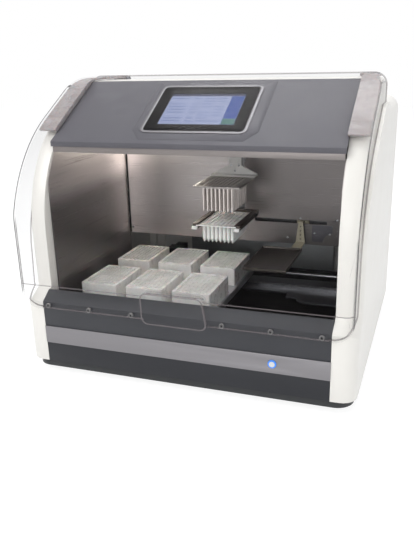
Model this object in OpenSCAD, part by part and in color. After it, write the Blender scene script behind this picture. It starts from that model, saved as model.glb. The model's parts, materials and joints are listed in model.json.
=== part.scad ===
// Bench-top nucleic acid extractor: a deep-well plate stage that moves in X and Y under a
// 96-rod lifting head, inside a steel-lined chamber closed by a clear lifting hood.
// Machine coordinates: +X to the right, +Y to the rear from the front strip, +Z up from the bench.

/* [Body] */
// Overall width over the side housings
body_w = 680; // [640:5:760]
// Depth from the front strip to the rear panel
body_d = 640; // [620:5:700]
// Clear width between the two side housings
chamber_w = 588; // [580:2:600]
// Height of the crown under the hood
crown_z = 580; // [576:1:600]
// Height of the flat rear roof
roof_z = 528; // [500:1:540]
// Wall of the moulded side housings
housing_wall = 3.5; // [2.5:0.5:5]
// Fillet round the outer edge of the side housings
edge_r = 30; // [20:1:34]
// Thickness of folded sheet panels
sheet_t = 3; // [2:0.5:4]

/* [Base] */
// Height of the rubber feet
foot_h = 14; // [6:1:20]
// Radius of the rubber feet
foot_r = 18; // [12:1:25]
// Height of the top of the plinth
plinth_z = 30; // [26:1:34]
// How far the plinth stands back from the housings
plinth_inset = 7; // [0:1:12]
// Height of the lower edge of the bright strip
strip_z0 = 72; // [62:1:78]
// Height of the upper edge of the bright strip
strip_z1 = 109; // [100:1:115]
// How far the strip stands out of the front panels
strip_proud = 1.5; // [0.5:0.5:3]
// Height at which the sill turns back
sill_z = 162; // [156:1:168]
// Height of the rear edge of the sill
sill_top_z = 180; // [176:1:184]
// Depth of the sill from front to rear edge
sill_d = 27; // [22:1:30]

/* [Slope and screen] */
// Angle of the sloping top panel
slope_a = 29; // [25:0.5:32]
// Distance of the lower edge of the slope behind the strip
slope_y = 86; // [80:1:95]
// Height of the lower edge of the slope
slope_z = 474; // [468:1:480]
// Width of the raised screen pod
pod_w = 256; // [240:2:300]
// Height of the raised screen pod above the slope
pod_h = 5.5; // [4:0.5:7]
// Width of the black screen glass
glass_w = 204; // [190:1:220]
// Height of the black screen glass along the slope
glass_h = 150; // [140:1:156]
// Width of the lit display
lcd_w = 155; // [140:1:170]
// Height of the lit display
lcd_h = 103; // [90:1:115]

/* [Hood] */
// Wall of the clear hood
hood_t = 3; // [2:0.5:4]
// How far the hood face stands in front of the strip
hood_proud = 22; // [18:1:30]
// Width over the hood
hood_w = 668; // [640:2:676]
// Radius of the curved hood face
hood_r = 300; // [270:5:330]
// Height of the hood above the sloping panel
hood_rise_min = 14; // [13:0.5:18]
// Height of the hood's top above the crown
hood_over = 10; // [10:0.5:16]
// Height of the lower edge of the hood
hood_z0 = 152; // [148:1:156]
// Height of the ledge where the chin starts
ledge_z = 206; // [200:1:214]
// Largest width of the handle recess
handle_w = 126; // [100:2:160]
// How far the rim of the pull stands out of the hood at its top
handle_lip = 5; // [3:0.5:8]
// Radius of the hood's hinge pins
hinge_pin_r = 4; // [3:0.5:5]

/* [Stage and plates] */
// Deep-well plate width
plate_w = 85.48; // [85:0.01:86]
// Deep-well plate length
plate_l = 127.76; // [127:0.01:128.5]
// Deep-well plate height
plate_h = 44; // [38:1:46]
// Gap between plate columns
plate_gap_x = 20.5; // [18:0.5:21]
// Gap between plate rows
plate_gap_y = 44; // [40:1:46]
// Spacing of the wells
well_pitch = 9; // [9:0.1:9.1]
// Side of a square well
well_side = 8.2; // [7.4:0.1:8.4]
// Depth of a well
well_depth = 38; // [30:1:40]
// Height of the plate tops above the bench
plate_top_z = 168; // [164:1:169]
// Height of the top of the deck
deck_z = 73; // [68:1:74]

/* [Lifting head] */
// Offset of the head's centre to the right of the middle
head_x = 15; // [10:1:20]
// Depth of the head's centre behind the strip
head_y = 262; // [258:1:266]
// Radius of a magnetic rod
rod_r = 2.6; // [2:0.1:2.8]
// Length of a magnetic rod below its plate
rod_l = 50; // [40:1:54]
// Radius of a comb sleeve
sleeve_r = 3.9; // [3.6:0.1:4.2]
// Clearance between a rod and its sleeve
rod_gap = 0.5; // [0.3:0.1:0.7]
// Height of the top of the comb
comb_z = 290; // [286:1:294]
// Length of a comb sleeve
sleeve_l = 40; // [34:1:42]
// Height of the top of the rod plate
rod_plate_z = 372; // [368:1:376]

/* [Fits] */
// Clearance round sliding pieces
slide_gap = 0.5; // [0.3:0.1:1]
// Radial clearance of shafts in their bores
shaft_gap = 0.05; // [0.02:0.01:0.1]
// Gap between the hood and the side housings
hood_gap = 3; // [2.5:0.5:4]

/* [Hidden] */
$fn = 48;
body_x = body_w / 2;
chamber_x = chamber_w / 2;
hood_x = hood_w / 2;
front_y = -(body_d - hood_proud - handle_lip) / 2;
foot_z = foot_h;
pan_t = 3;

sin_a = sin(slope_a);
cos_a = cos(slope_a);
// offset of the sloping panel's plane from the machine origin, along its normal
slope_c = -sin_a * slope_y + cos_a * slope_z;

// side outline of the housings
cheek_y = 36;
cheek_r = 250;
cheek_drop = 1;
cheek_top_r = 60;
crown_rear_y = 405;
slope_l = (crown_z - slope_z) / sin_a;
cover_y = slope_y + slope_l * cos_a + 2;
crown_r = 34;
rear_r = 35;

// hood
hood_top_z = crown_z + hood_over;
hood_top_r = 100;
hood_rear_y = 345;
hood_corner_r = 40;
hood_top_corner_r = 26;
bezel_w = 6;
bezel_t = 1.8;
screen_gap = 1.5;
screen_s0 = 32;
// lower edge of the screen's frame, which the hood has to clear
bezel_y = slope_y + cos_a * (screen_s0 - bezel_w) - sin_a * (pod_h + bezel_t);
bezel_z = slope_z + sin_a * (screen_s0 - bezel_w) + cos_a * (pod_h + bezel_t);
hood_cy = hood_r - hood_proud;
hood_inner_r = hood_r - hood_t - screen_gap;
hood_rise = max(hood_rise_min, cos_a * (bezel_z - sqrt(pow(hood_inner_r, 2) - pow(hood_cy - bezel_y, 2)))
    - slope_c + hood_r - sin_a * hood_cy);
chin_y = -12;
chin_slope = (hood_proud + chin_y) / (ledge_z - hood_z0);
hood_plan_r = 18;
handle_top_z = 214;
handle_bottom_z = 145;
handle_flare = 3;
handle_low_lip = 2;
handle_gap = 1.5;
handle_r = 14;
shoulder_d = hood_top_z - roof_z;
hood_in_gap = 2;
pivot_y = 420;
pivot_z = 575;
barrel_r = 11;
pad_x0 = hood_x - 42;
pad_w = 38;
pad_lift = 2;
pad_y0 = 106;
arm_w = 24;
arm_x0 = hood_x - hood_top_corner_r - 4 - arm_w;
ear_t = 5;
ear_gap = 1;

// chamber
wall_t = 2;
back_y = 410;
back_z0 = 200;
wall_y0 = 62;
ceiling_z = 452;
slot_z = 254;
lamp_l = 160;
slot_h = 9;
slot_x1 = chamber_x - 82;
slot_x0 = slot_x1 - 172;
lift_slot = [-57, 72, 320, 398];

// stage: columns and rows of plates
cols = 3;
rows = 2;
col_pitch = plate_w + plate_gap_x;
row_pitch = plate_l + plate_gap_y;
stage_x0 = -chamber_x + 25.5;
stage_y0 = 109;
tray_margin = 6;
tray_base = 10;
tray_lip = 4;
plate_z = plate_top_z - plate_h;
tray_z = plate_z - tray_base;
well_nx = 8;
well_ny = 12;
stage_w = cols * plate_w + (cols - 1) * plate_gap_x;
stage_l = rows * plate_l + (rows - 1) * plate_gap_y;

// linear rails and carriages
rail_w = 12;
rail_h = 8;
block_w = 26;
block_l = 40;
block_h = 10;
block_lift = 3;
y_rail_x = chamber_x - 24;
y_rail_y0 = 36;
y_rail_y1 = 600;
deck_y1 = 604;
carriage_t = 4;
carriage_z = deck_z + block_lift + block_h + 3;
carriage_x = chamber_x - 8;
carriage_y0 = 120;
carriage_y1 = 462;
front_beam = 50;
side_beam = 26;
step_y0 = 310;
step_y1 = 365;
step_x = 160;
step_r = 26;
x_rail_ys = [146, 392];
x_rail_x = chamber_x - 14;
x_rail_z = carriage_z + carriage_t;
motor_w = 42;
motor_l = 38;
screw_r = 4;
x_screw_y = 439;
x_screw_z = x_rail_z + motor_w / 2 + 1;
y_screw_x = -chamber_x + 56;
y_motor_y = 562;
shaft_in = 13;
y_screw_z = deck_z + 9;

// lifting head: stack of layers from the rod bracket back to the mast
lift_x = head_x;
lift_w = 30;
layer_y = [336, 340, 350, 354, 359, 369, 373, 385];
rod_plate_w = 102;
rod_plate_l = 120;
rod_plate_t = 4;
carriage_top_z = 552;
comb_rail_w = 12;
comb_rail_h = 11;
comb_flange_t = 2;
comb_w = 88;
comb_l = 132;
comb_rail_l = 140;
tip_l = 8;
motor_z0 = 528;
motor_z1 = 566;
nut_z = 514;
nut_h = 8;
lift_screw_x = lift_x + 46;
rod_screw_x = lift_x - 46;

// drip tray
drip_w = 92;
drip_l = 164;
drip_x0 = 78;
drip_y0 = 176;
drip_z = 205;
drip_rim = 6;
drip_arm_x = 153;

// ---------- geometry helpers ----------

// put a piece drawn from the front strip into the row frame
module machine() translate([0, front_y, 0]) children();

// extrude a (y, z) outline along X
module along_x(x0, x1)
    translate([x0, 0, 0]) rotate([90, 0, 90]) linear_extrude(height = x1 - x0) children();

// extrude an (x, z) outline along Y
module along_y(y0, y1)
    translate([0, y1, 0]) rotate([90, 0, 0]) linear_extrude(height = y1 - y0) children();

// local x across, local y up the slope, local z out of the sloping panel
module on_slope() translate([0, slope_y, slope_z]) rotate([slope_a, 0, 0]) children();

// box from two corners
module box(a, b) translate(a) cube(b - a);

// round bar along an axis, named by its direction
module bar_x(x0, x1, y, z, r) translate([x0, y, z]) rotate([0, 90, 0]) cylinder(h = x1 - x0, r = r);
module bar_y(y0, y1, x, z, r) translate([x, y0, z]) rotate([-90, 0, 0]) cylinder(h = y1 - y0, r = r);
module bar_z(z0, z1, x, y, r) translate([x, y, z0]) cylinder(h = z1 - z0, r = r);

// rectangle from two corners with round corners of its own
module rounded(x0, y0, x1, y1, r) {
    translate([x0 + r, y0]) square([x1 - x0 - 2 * r, y1 - y0]);
    translate([x0, y0 + r]) square([x1 - x0, y1 - y0 - 2 * r]);
    for (x = [x0 + r, x1 - r], y = [y0 + r, y1 - r]) translate([x, y]) circle(r = r);
}

module mirrored() {
    children();
    mirror([1, 0, 0]) children();
}

function arc(c, r, a0, a1, n) =
    [for (i = [0:n]) let (a = a0 + (a1 - a0) * i / n) [c[0] + r * cos(a), c[1] + r * sin(a)]];

// centre of an arc that runs from a vertical face to a line parallel to the slope
function face_centre(y, r, c) = [y + r, (c - r + sin_a * (y + r)) / cos_a];

// centre of an arc that runs from a line parallel to the slope to a level top
function top_centre(z, r, c) = [(cos_a * (z - r) + r - c) / sin_a, z - r];

function unit(v) = v / norm(v);
function inward(a, b) = let (d = unit(b - a)) [-d[1], d[0]];
function cross2(a, b) = a[0] * b[1] - a[1] * b[0];

// corner p moved so that the edges beside it, with normals n1 and n2, move in by d1 and d2
function corner(p, n1, n2, d1, d2) =
    let (k = cross2(n1, n2), s1 = n1 * p + d1, s2 = n2 * p + d2)
    abs(k) < 0.001 ? p + n1 * d1
        : [(s1 * n2[1] - s2 * n1[1]) / k, (n1[0] * s2 - n2[0] * s1) / k];

// outline p moved inwards by d, with its first edge left where it is
function inset(p, d) = let (n = len(p)) [
    for (i = [0:n - 1])
        let (a = p[(i + n - 1) % n], b = p[i], c = p[(i + 1) % n])
        corner(b, inward(a, b), inward(b, c), i == 1 ? 0 : d, i == 0 ? 0 : d)
];

// ---------- side housings ----------

// front profile shared by the housings: sill step, vertical face, curve, slope and crown
function cheek_front() = concat(
    arc(top_centre(crown_z, cheek_top_r, slope_c - cheek_drop), cheek_top_r, 90, 90 + slope_a, 4),
    arc(face_centre(cheek_y, cheek_r, slope_c - cheek_drop), cheek_r, 90 + slope_a, 180, 12),
    [[cheek_y, sill_top_z + 2], [0, sill_z]]
);

// crown and roof seen from the side, from the rear panel forwards
function roof_line() = concat(
    arc([body_d - rear_r, roof_z - rear_r], rear_r, 0, 90, 5),
    [[crown_rear_y, roof_z]],
    arc([crown_rear_y - crown_r, crown_z - crown_r], crown_r, 0, 90, 5)
);

// place of the roof's inner corner in the housing outline
roof_corner = 8;

function housing_outline() =
    concat([[0, plinth_z], [body_d, plinth_z]], roof_line(), cheek_front());

// solid whose side outline rolls in by r at its outer face, from x0 out to x1
module rolled_solid(p, x0, x1, r) {
    steps = 5;
    n = len(p);
    sill = n - 2;
    // end faces split at the two inner corners, so that each piece is convex
    caps = [
        [0, 1, sill, n - 1],
        concat([for (i = [1:roof_corner]) i], [sill]),
        [for (i = [roof_corner:sill]) i]
    ];
    layers = concat([[x0, 0]], [for (i = [0:steps])
        let (a = 90 * i / steps) [x1 - r + r * sin(a), r * (1 - cos(a))]]);
    points = [for (l = layers) each [for (q = inset(p, l[1])) [l[0], q[0], q[1]]]];
    last = len(layers) - 1;
    faces = concat(
        [for (c = caps) [for (i = [len(c) - 1:-1:0]) c[i]]],
        [for (k = [0:last - 1], i = [0:n - 1])
            [k * n + i, k * n + (i + 1) % n, (k + 1) * n + (i + 1) % n]],
        [for (k = [0:last - 1], i = [0:n - 1])
            [k * n + i, (k + 1) * n + (i + 1) % n, (k + 1) * n + i]],
        [for (c = caps) [for (i = c) last * n + i]]
    );
    polyhedron(points = points, faces = [for (f = faces) [for (i = [len(f) - 1:-1:0]) f[i]]]);
}

// hollow of a housing, stepped in where the outer edge rolls round and under the hood's sides
module housing_hollow(p) {
    x1 = hood_x - hood_t - hood_in_gap - housing_wall;
    along_x(chamber_x - 1, body_x - edge_r + 8) polygon(inset(p, 2 * housing_wall));
    along_x(chamber_x - 1, x1) polygon(inset(p, edge_r * 0.6 + housing_wall));
    intersection() {
        along_x(chamber_x - 1, body_x - housing_wall) polygon(inset(p, edge_r * 0.6 + housing_wall));
        along_x(chamber_x - 2, body_x) shoulder_inside(shoulder_d + housing_wall);
    }
}

// part of the side view that lies more than d inside the hood's curve
module shoulder_inside(d)
    polygon(concat(hood_curve(d, 0, body_d + 10), [[body_d + 10, 0], [chin_y + d, 0]]));

// what the crown loses so that the hood's sides pass outside it
module crown_recess() intersection() {
    along_x(chamber_x + 5, body_x + 5) difference() {
        translate([0, slope_z - 200]) square([crown_rear_y + 20, crown_z]);
        shoulder_inside(shoulder_d);
    }
    difference() {
        box([chamber_x + 5, -10, 0], [body_x + 5, body_d, crown_z + 50]);
        along_y(-20, body_d + 10) hood_front_outline(hood_t + hood_in_gap);
    }
}

module side_housing() machine() {
    p = housing_outline();
    z0 = plinth_z + housing_wall;
    difference() {
        rolled_solid(p, chamber_x, body_x, edge_r);
        crown_recess();
        intersection() {
            housing_hollow(p);
            union() {
                box([chamber_x + housing_wall, 0, z0], [body_x, wall_y0, crown_z]);
                box([chamber_x - 2, wall_y0 - 1, z0], [body_x, body_d, crown_z]);
            }
        }
    }
}

module left_housing() color("whitesmoke") mirror([1, 0, 0]) side_housing();
module right_housing() color("whitesmoke") side_housing();

// ---------- base ----------

// plan of the plinth, drawn in by d
module base_outline(d) {
    k = plinth_inset + d;
    x = body_x - k;
    rounded(-x, k, x, body_d - k, edge_r + 4 - d);
}

module base_pan() color([0.16, 0.17, 0.18]) machine() difference() {
    translate([0, 0, foot_z]) linear_extrude(height = plinth_z - foot_z) base_outline(0);
    translate([0, 0, foot_z + pan_t]) linear_extrude(height = plinth_z) base_outline(pan_t + 2);
}

module feet() color([0.08, 0.08, 0.08]) machine()
    for (x = [-1, 1], y = [60, body_d - 60])
        translate([x * (body_x - 60), y, 0]) {
            cylinder(h = 2, r1 = foot_r - 2, r2 = foot_r);
            translate([0, 0, 2]) cylinder(h = foot_h - 2, r = foot_r);
        }

// ---------- covers ----------

module top_cover() color("whitesmoke") machine() along_x(-chamber_x, chamber_x) {
    outer = concat([[body_d, roof_z - rear_r - 24]], roof_line(), [[cover_y, crown_z]]);
    inner = concat(
        [[cover_y, crown_z - sheet_t]],
        arc([crown_rear_y - crown_r, crown_z - crown_r], crown_r - sheet_t, 90, 0, 5),
        [[crown_rear_y - sheet_t, roof_z - sheet_t]],
        arc([body_d - rear_r, roof_z - rear_r], rear_r - sheet_t, 90, 0, 5),
        [[body_d - sheet_t, roof_z - rear_r - 24]]
    );
    polygon(concat(outer, inner));
}

fan_x = 190;
fan_z = 400;
fan_w = 80;
inlet_x = -240;
inlet_z = 82;
ports_x = -130;
ports_z = 82;
unit_side = 70;
unit_w = 400;
unit_z = 180;

module rear_panel() color([0.86, 0.86, 0.84]) machine() difference() {
    box([-chamber_x, body_d - sheet_t, plinth_z], [chamber_x, body_d, roof_z - rear_r - 24]);
    for (i = [-3:3]) {
        w = sqrt(pow(fan_w / 2 - 4, 2) - pow(i * 10, 2));
        box([fan_x - w, body_d - 5, fan_z + i * 10 - 3], [fan_x + w, body_d + 1, fan_z + i * 10 + 3]);
    }
    for (i = [0:7])
        box([-250 + i * 22, body_d - 5, 330], [-242 + i * 22, body_d + 1, 430]);
    box([inlet_x - 14, body_d - 5, inlet_z - 30], [inlet_x + 14, body_d + 1, inlet_z + 30]);
    box([ports_x - 32, body_d - 5, ports_z - 10], [ports_x + 32, body_d + 1, ports_z + 10]);
}

pod_s0 = 12;
pod_s1 = 210;
pod_cut = 30;
pod_slant = 9;
lip_h = 10;

// outline of the raised pod, drawn in by d
module pod_outline(d) {
    x = pod_w / 2 - d;
    y0 = pod_s0 + d;
    y1 = pod_s1 - d;
    polygon([[-x + pod_cut * 0.75, y0], [x - pod_cut * 0.75, y0], [x, y0 + pod_cut], [x, y1],
        [-x, y1], [-x, y0 + pod_cut]]);
}

module slope_panel() color([0.42, 0.42, 0.45]) machine() difference() {
    union() {
        on_slope() {
            box([-chamber_x, 0, -sheet_t], [chamber_x, slope_l, 0]);
            hull() {
                linear_extrude(height = 0.5) pod_outline(0);
                translate([0, 0, pod_h - 0.5]) linear_extrude(height = 0.5) pod_outline(pod_slant);
            }
        }
        box([-chamber_x, slope_y, slope_z - lip_h], [chamber_x, slope_y + sheet_t, slope_z]);
        box([-chamber_x, slope_y, slope_z - lip_h], [chamber_x, slope_y + 14, slope_z - lip_h + 2]);
    }
    on_slope() box([-glass_w / 2 - 1, screen_s0 - 1, -12], [glass_w / 2 + 1, screen_s0 + glass_h + 1, 20]);
}

module screen_bezel() color([0.62, 0.62, 0.64]) machine() on_slope()
    translate([0, 0, pod_h]) linear_extrude(height = bezel_t) difference() {
        rounded(-glass_w / 2 - bezel_w, screen_s0 - bezel_w, glass_w / 2 + bezel_w,
            screen_s0 + glass_h + bezel_w, 14);
        rounded(-glass_w / 2, screen_s0, glass_w / 2, screen_s0 + glass_h, 8);
    }

lcd_s0 = 54;

module screen_glass() color([0.05, 0.05, 0.06]) machine() on_slope()
    translate([0, 0, pod_h - 1.5]) linear_extrude(height = 3) difference() {
        rounded(-glass_w / 2, screen_s0, glass_w / 2, screen_s0 + glass_h, 8);
        translate([-lcd_w / 2, lcd_s0]) square([lcd_w, lcd_h]);
    }

module display_module() color([0.6, 0.66, 0.85]) machine() on_slope() {
    box([-glass_w / 2 + 6, screen_s0 + 5, -22], [glass_w / 2 - 6, screen_s0 + glass_h - 5, pod_h - 1.5]);
    box([-lcd_w / 2, lcd_s0, pod_h - 2], [lcd_w / 2, lcd_s0 + lcd_h, pod_h + 1]);
}

// ---------- front panels ----------

module sill_panel() color([0.25, 0.26, 0.28]) machine() along_x(-chamber_x, chamber_x) {
    t = sheet_t;
    polygon([[0, strip_z1], [t, strip_z1], [t, sill_z - 1], [sill_d - t, sill_top_z - t],
        [sill_d - t, deck_z - t], [sill_d, deck_z - t], [sill_d, sill_top_z], [0, sill_z]]);
}

button_x = 187;
button_r = 5.5;
ring_r = 8;
strip_mid = (strip_z0 + strip_z1) / 2;

module trim_strip() color([0.75, 0.75, 0.76]) machine() difference() {
    box([-chamber_x, -strip_proud, strip_z0], [chamber_x, sheet_t, strip_z1]);
    bar_y(-5, 10, button_x, strip_mid, ring_r);
}

module button_ring() color([0.3, 0.55, 1]) machine() difference() {
    bar_y(-strip_proud - 1, sheet_t, button_x, strip_mid, ring_r);
    bar_y(-5, 10, button_x, strip_mid, button_r + shaft_gap);
}

module power_button() color([0.8, 0.8, 0.82]) machine() {
    bar_y(-strip_proud - 1.8, 12, button_x, strip_mid, button_r);
    bar_y(sheet_t + 0.3, sheet_t + 3, button_x, strip_mid, button_r + 2.5);
}

module lower_panel() color([0.2, 0.21, 0.23]) machine() {
    box([-chamber_x, 0, plinth_z], [chamber_x, sheet_t, strip_z0]);
    box([-chamber_x, 0, plinth_z], [chamber_x, 20, plinth_z + sheet_t]);
}

bumper_count = 7;
bumper_margin = 56.5;
bumper_pitch = (hood_w - 2 * bumper_margin) / (bumper_count - 1);
bumper_z = 157;
bumper_r = 5;

// evenly spaced, with none behind the pull
module hood_bumpers() color([0.3, 0.3, 0.31]) machine()
    for (i = [0:bumper_count - 1]) if (i != (bumper_count - 1) / 2)
        translate([(i - (bumper_count - 1) / 2) * bumper_pitch, 0, bumper_z]) {
            bar_y(-5, 0, 0, 0, bumper_r / 2);
            bar_y(-7.5, -5, 0, 0, bumper_r);
        }

// ---------- chamber ----------

module side_wall() machine() difference() {
    box([chamber_x - wall_t, wall_y0, deck_z], [chamber_x, back_y, ceiling_z]);
    translate([chamber_x - 5, 0, 0]) along_x(0, 10)
        polygon(concat([[0, crown_z + 50], [0, slope_z - cheek_r + 76]],
            arc(face_centre(cheek_y, cheek_r, slope_c - cheek_drop), cheek_r - 4, 180, 90 + slope_a, 12),
            [[cover_y, crown_z + 50]]));
}

module left_wall() color([0.6, 0.58, 0.57]) mirror([1, 0, 0]) side_wall();
module right_wall() color([0.6, 0.58, 0.57]) side_wall();

module back_wall() color([0.6, 0.58, 0.57]) machine() difference() {
    box([-chamber_x, back_y, back_z0], [chamber_x, back_y + wall_t, ceiling_z]);
    box([slot_x0, back_y - 1, slot_z - slot_h / 2], [slot_x1, back_y + wall_t + 1, slot_z + slot_h / 2]);
}

module slot_cover() color([0.35, 0.34, 0.35]) machine() difference() {
    box([slot_x1 - 34, back_y - 1.5, slot_z - 46], [slot_x1 + 14, back_y, slot_z - 6]);
    bar_y(back_y - 3, back_y + 1, slot_x1 + 14, slot_z - 46, 22);
}

module ceiling_panel() color([0.6, 0.58, 0.57]) machine() {
    difference() {
    box([-chamber_x, slope_y + 3, ceiling_z], [chamber_x, back_y + wall_t, ceiling_z + wall_t]);
    box([-chamber_x, slope_y + 3, ceiling_z], [chamber_x, slope_y + 5, slope_z - lip_h]);
    box([lift_slot[0], lift_slot[2], ceiling_z - 1], [lift_slot[1], lift_slot[3], ceiling_z + 5]);
    }
}

module chamber_lamp() color([1, 0.98, 0.85]) machine() {
    x0 = -chamber_x + 24;
    y = back_y - 17;
    box([x0, y - 9, ceiling_z - 8], [x0 + lamp_l, y + 9, ceiling_z]);
    bar_x(x0 + 6, x0 + lamp_l - 6, y, ceiling_z - 10, 5);
}

// ---------- stage ----------

module deck() color([0.13, 0.13, 0.14]) machine() {
    t = sheet_t;
    box([-chamber_x + 2, sill_d, deck_z - t], [chamber_x - 2, deck_y1, deck_z]);
    mirrored() box([chamber_x - 2 - t, sill_d, foot_z + pan_t], [chamber_x - 2, deck_y1, deck_z]);
}

module y_rails() color([0.7, 0.7, 0.72]) machine() mirrored()
    box([y_rail_x - rail_w / 2, y_rail_y0, deck_z], [y_rail_x + rail_w / 2, y_rail_y1, deck_z + rail_h]);

module y_screw() color([0.7, 0.7, 0.72]) machine()
    bar_y(y_rail_y0 + 10, y_motor_y - 2, y_screw_x, y_screw_z, screw_r);

module y_motor() color([0.1, 0.1, 0.11]) machine() {
    difference() {
        box([y_screw_x - motor_w / 2, y_motor_y, deck_z],
            [y_screw_x + motor_w / 2, y_motor_y + motor_l, deck_z + motor_w]);
        bar_y(y_motor_y - 7, y_motor_y + shaft_in, y_screw_x, y_screw_z, screw_r + 1);
    }
    difference() {
        box([y_screw_x - 12, y_rail_y0, deck_z], [y_screw_x + 12, y_rail_y0 + 9, deck_z + 16]);
        bar_y(y_rail_y0 - 1, y_rail_y0 + 30, y_screw_x, y_screw_z, screw_r + 1);
    }
}

// carriage block that straddles a rail along Y, from its lower face
module block_on_y(x, y0, z) difference() {
    box([x - block_w / 2, y0, z + block_lift], [x + block_w / 2, y0 + block_l, z + block_lift + block_h + 3]);
    box([x - rail_w / 2 - slide_gap, y0 - 1, z - 1], [x + rail_w / 2 + slide_gap, y0 + block_l + 1, z + rail_h + slide_gap]);
}

module block_on_x(x0, y, z) difference() {
    box([x0, y - block_w / 2, z + block_lift], [x0 + block_l, y + block_w / 2, tray_z]);
    box([x0 - 1, y - rail_w / 2 - slide_gap, z - 1], [x0 + block_l + 1, y + rail_w / 2 + slide_gap, z + rail_h + slide_gap]);
}

module y_carriage() color([0.23, 0.23, 0.24]) machine() {
    difference() {
        translate([0, 0, carriage_z]) linear_extrude(height = carriage_t) difference() {
            translate([-carriage_x, carriage_y0]) square([2 * carriage_x, carriage_y1 - carriage_y0]);
            translate([-carriage_x + side_beam, carriage_y0 + front_beam])
                square([step_x - step_r + carriage_x - side_beam, step_y1 - carriage_y0 - front_beam]);
            translate([0, carriage_y0 + front_beam])
                square([carriage_x - side_beam, step_y0 - carriage_y0 - front_beam]);
            translate([step_x - step_r, step_y0 - 1])
                difference() {
                    square([2 * step_r, step_r + 1]);
                    translate([2 * step_r, step_r + 1]) circle(r = step_r);
                }
        }
    }
    for (x = [-y_rail_x, y_rail_x], y = [carriage_y0 + 4, carriage_y1 - 60]) block_on_y(x, y, deck_z);
    difference() {
        box([y_screw_x - 9, carriage_y1 - 60, y_screw_z - 7], [y_screw_x + 9, carriage_y1 - 40, carriage_z]);
        bar_y(carriage_y1 - 61, carriage_y1 - 39, y_screw_x, y_screw_z, screw_r + shaft_gap);
    }
}

module x_rails() color([0.7, 0.7, 0.72]) machine()
    for (y = x_rail_ys)
        box([-x_rail_x, y - rail_w / 2, x_rail_z], [x_rail_x, y + rail_w / 2, x_rail_z + rail_h]);

module x_motor() color([0.1, 0.1, 0.11]) machine() {
    difference() {
        box([-carriage_x, x_screw_y - motor_w / 2, x_rail_z], [-carriage_x + motor_l, x_screw_y + motor_w / 2, x_rail_z + motor_w]);
        bar_x(-carriage_x + 20, -carriage_x + 60, x_screw_y, x_screw_z, screw_r + 1);
    }
    difference() {
        box([x_rail_x - 10, x_screw_y - 10, x_rail_z], [x_rail_x, x_screw_y + 10, x_screw_z + 10]);
        bar_x(x_rail_x - 15, x_rail_x + 5, x_screw_y, x_screw_z, screw_r + 1);
    }
}

module x_screw() color([0.7, 0.7, 0.72]) machine()
    bar_x(-carriage_x + 24, x_rail_x - 2, x_screw_y, x_screw_z, screw_r);

module plate_tray() color([0.75, 0.76, 0.78]) machine() {
    m = tray_margin;
    difference() {
        box([stage_x0 - m, stage_y0 - m + 2, tray_z], [stage_x0 + stage_w + m, stage_y0 + stage_l + m, plate_z + tray_lip]);
        for (c = [0:cols - 1], r = [0:rows - 1])
            box([stage_x0 + c * col_pitch - slide_gap, stage_y0 + r * row_pitch - slide_gap, plate_z],
                [stage_x0 + c * col_pitch + plate_w + slide_gap, stage_y0 + r * row_pitch + plate_l + slide_gap, plate_z + 20]);
    }
    for (x = [stage_x0 + 30, stage_x0 + stage_w - 70], y = x_rail_ys) block_on_x(x, y, x_rail_z);
    difference() {
        union() {
            box([-130, stage_y0 + stage_l + m - 1, tray_z], [-110, x_screw_y + 9, tray_z + 8]);
            box([-130, x_screw_y - 9, x_screw_z - 9], [-110, x_screw_y + 9, x_screw_z + 9]);
        }
        bar_x(-131, -109, x_screw_y, x_screw_z, screw_r + shaft_gap);
    }
}

// deep-well plate in column c and row r
module well_plate(c, r) color([0.93, 0.94, 0.95]) machine()
    translate([stage_x0 + c * col_pitch, stage_y0 + r * row_pitch, plate_z]) {
        x0 = (plate_w - (well_nx - 1) * well_pitch) / 2;
        y0 = (plate_l - (well_ny - 1) * well_pitch) / 2;
        skirt_h = 6;
        linear_extrude(height = skirt_h - 3) rounded(0, 0, plate_w, plate_l, 3);
        translate([0.9, 0.9, skirt_h - 3]) linear_extrude(height = plate_h - well_depth - skirt_h + 3)
            rounded(0, 0, plate_w - 1.8, plate_l - 1.8, 3);
        translate([0, 0, plate_h - well_depth]) linear_extrude(height = well_depth) difference() {
            translate([0.9, 0.9]) rounded(0, 0, plate_w - 1.8, plate_l - 1.8, 3);
            for (i = [0:well_nx - 1], j = [0:well_ny - 1])
                translate([x0 + i * well_pitch - well_side / 2, y0 + j * well_pitch - well_side / 2])
                    square(well_side);
        }
    }

module deep_well_plate_1() well_plate(0, 0);
module deep_well_plate_2() well_plate(1, 0);
module deep_well_plate_3() well_plate(2, 0);
module deep_well_plate_4() well_plate(0, 1);
module deep_well_plate_5() well_plate(1, 1);
module deep_well_plate_6() well_plate(2, 1);

// ---------- lifting head ----------

module lift_mast() color([0.62, 0.62, 0.64]) machine() {
    w = lift_w - 6;
    box([lift_x - w / 2, layer_y[6], 395], [lift_x + w / 2, layer_y[7], motor_z1]);
    box([lift_x - rail_w / 2, layer_y[5], 400], [lift_x + rail_w / 2, layer_y[6], motor_z1 - 4]);
    box([lift_slot[0] - 6, layer_y[7], ceiling_z + wall_t], [lift_slot[1] + 6, layer_y[7] + 4, ceiling_z + wall_t + 60]);
    box([lift_slot[0] - 6, layer_y[7] + 4, ceiling_z + wall_t], [lift_slot[0] + 30, back_y, ceiling_z + wall_t + 4]);
}

module lift_motor() color([0.1, 0.1, 0.11]) machine() {
    difference() {
        union() {
            box([lift_screw_x - motor_w / 2, layer_y[7] - motor_w, motor_z0], [lift_screw_x + motor_w / 2, layer_y[7], motor_z1]);
            box([lift_x + lift_w / 2 - 3, layer_y[6], motor_z0 - 4], [lift_screw_x + motor_w / 2, layer_y[7], motor_z0]);
        }
        bar_z(motor_z0 - 10, motor_z0 + 12, lift_screw_x, layer_y[7] - motor_w / 2, screw_r + 1);
    }
}

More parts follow.
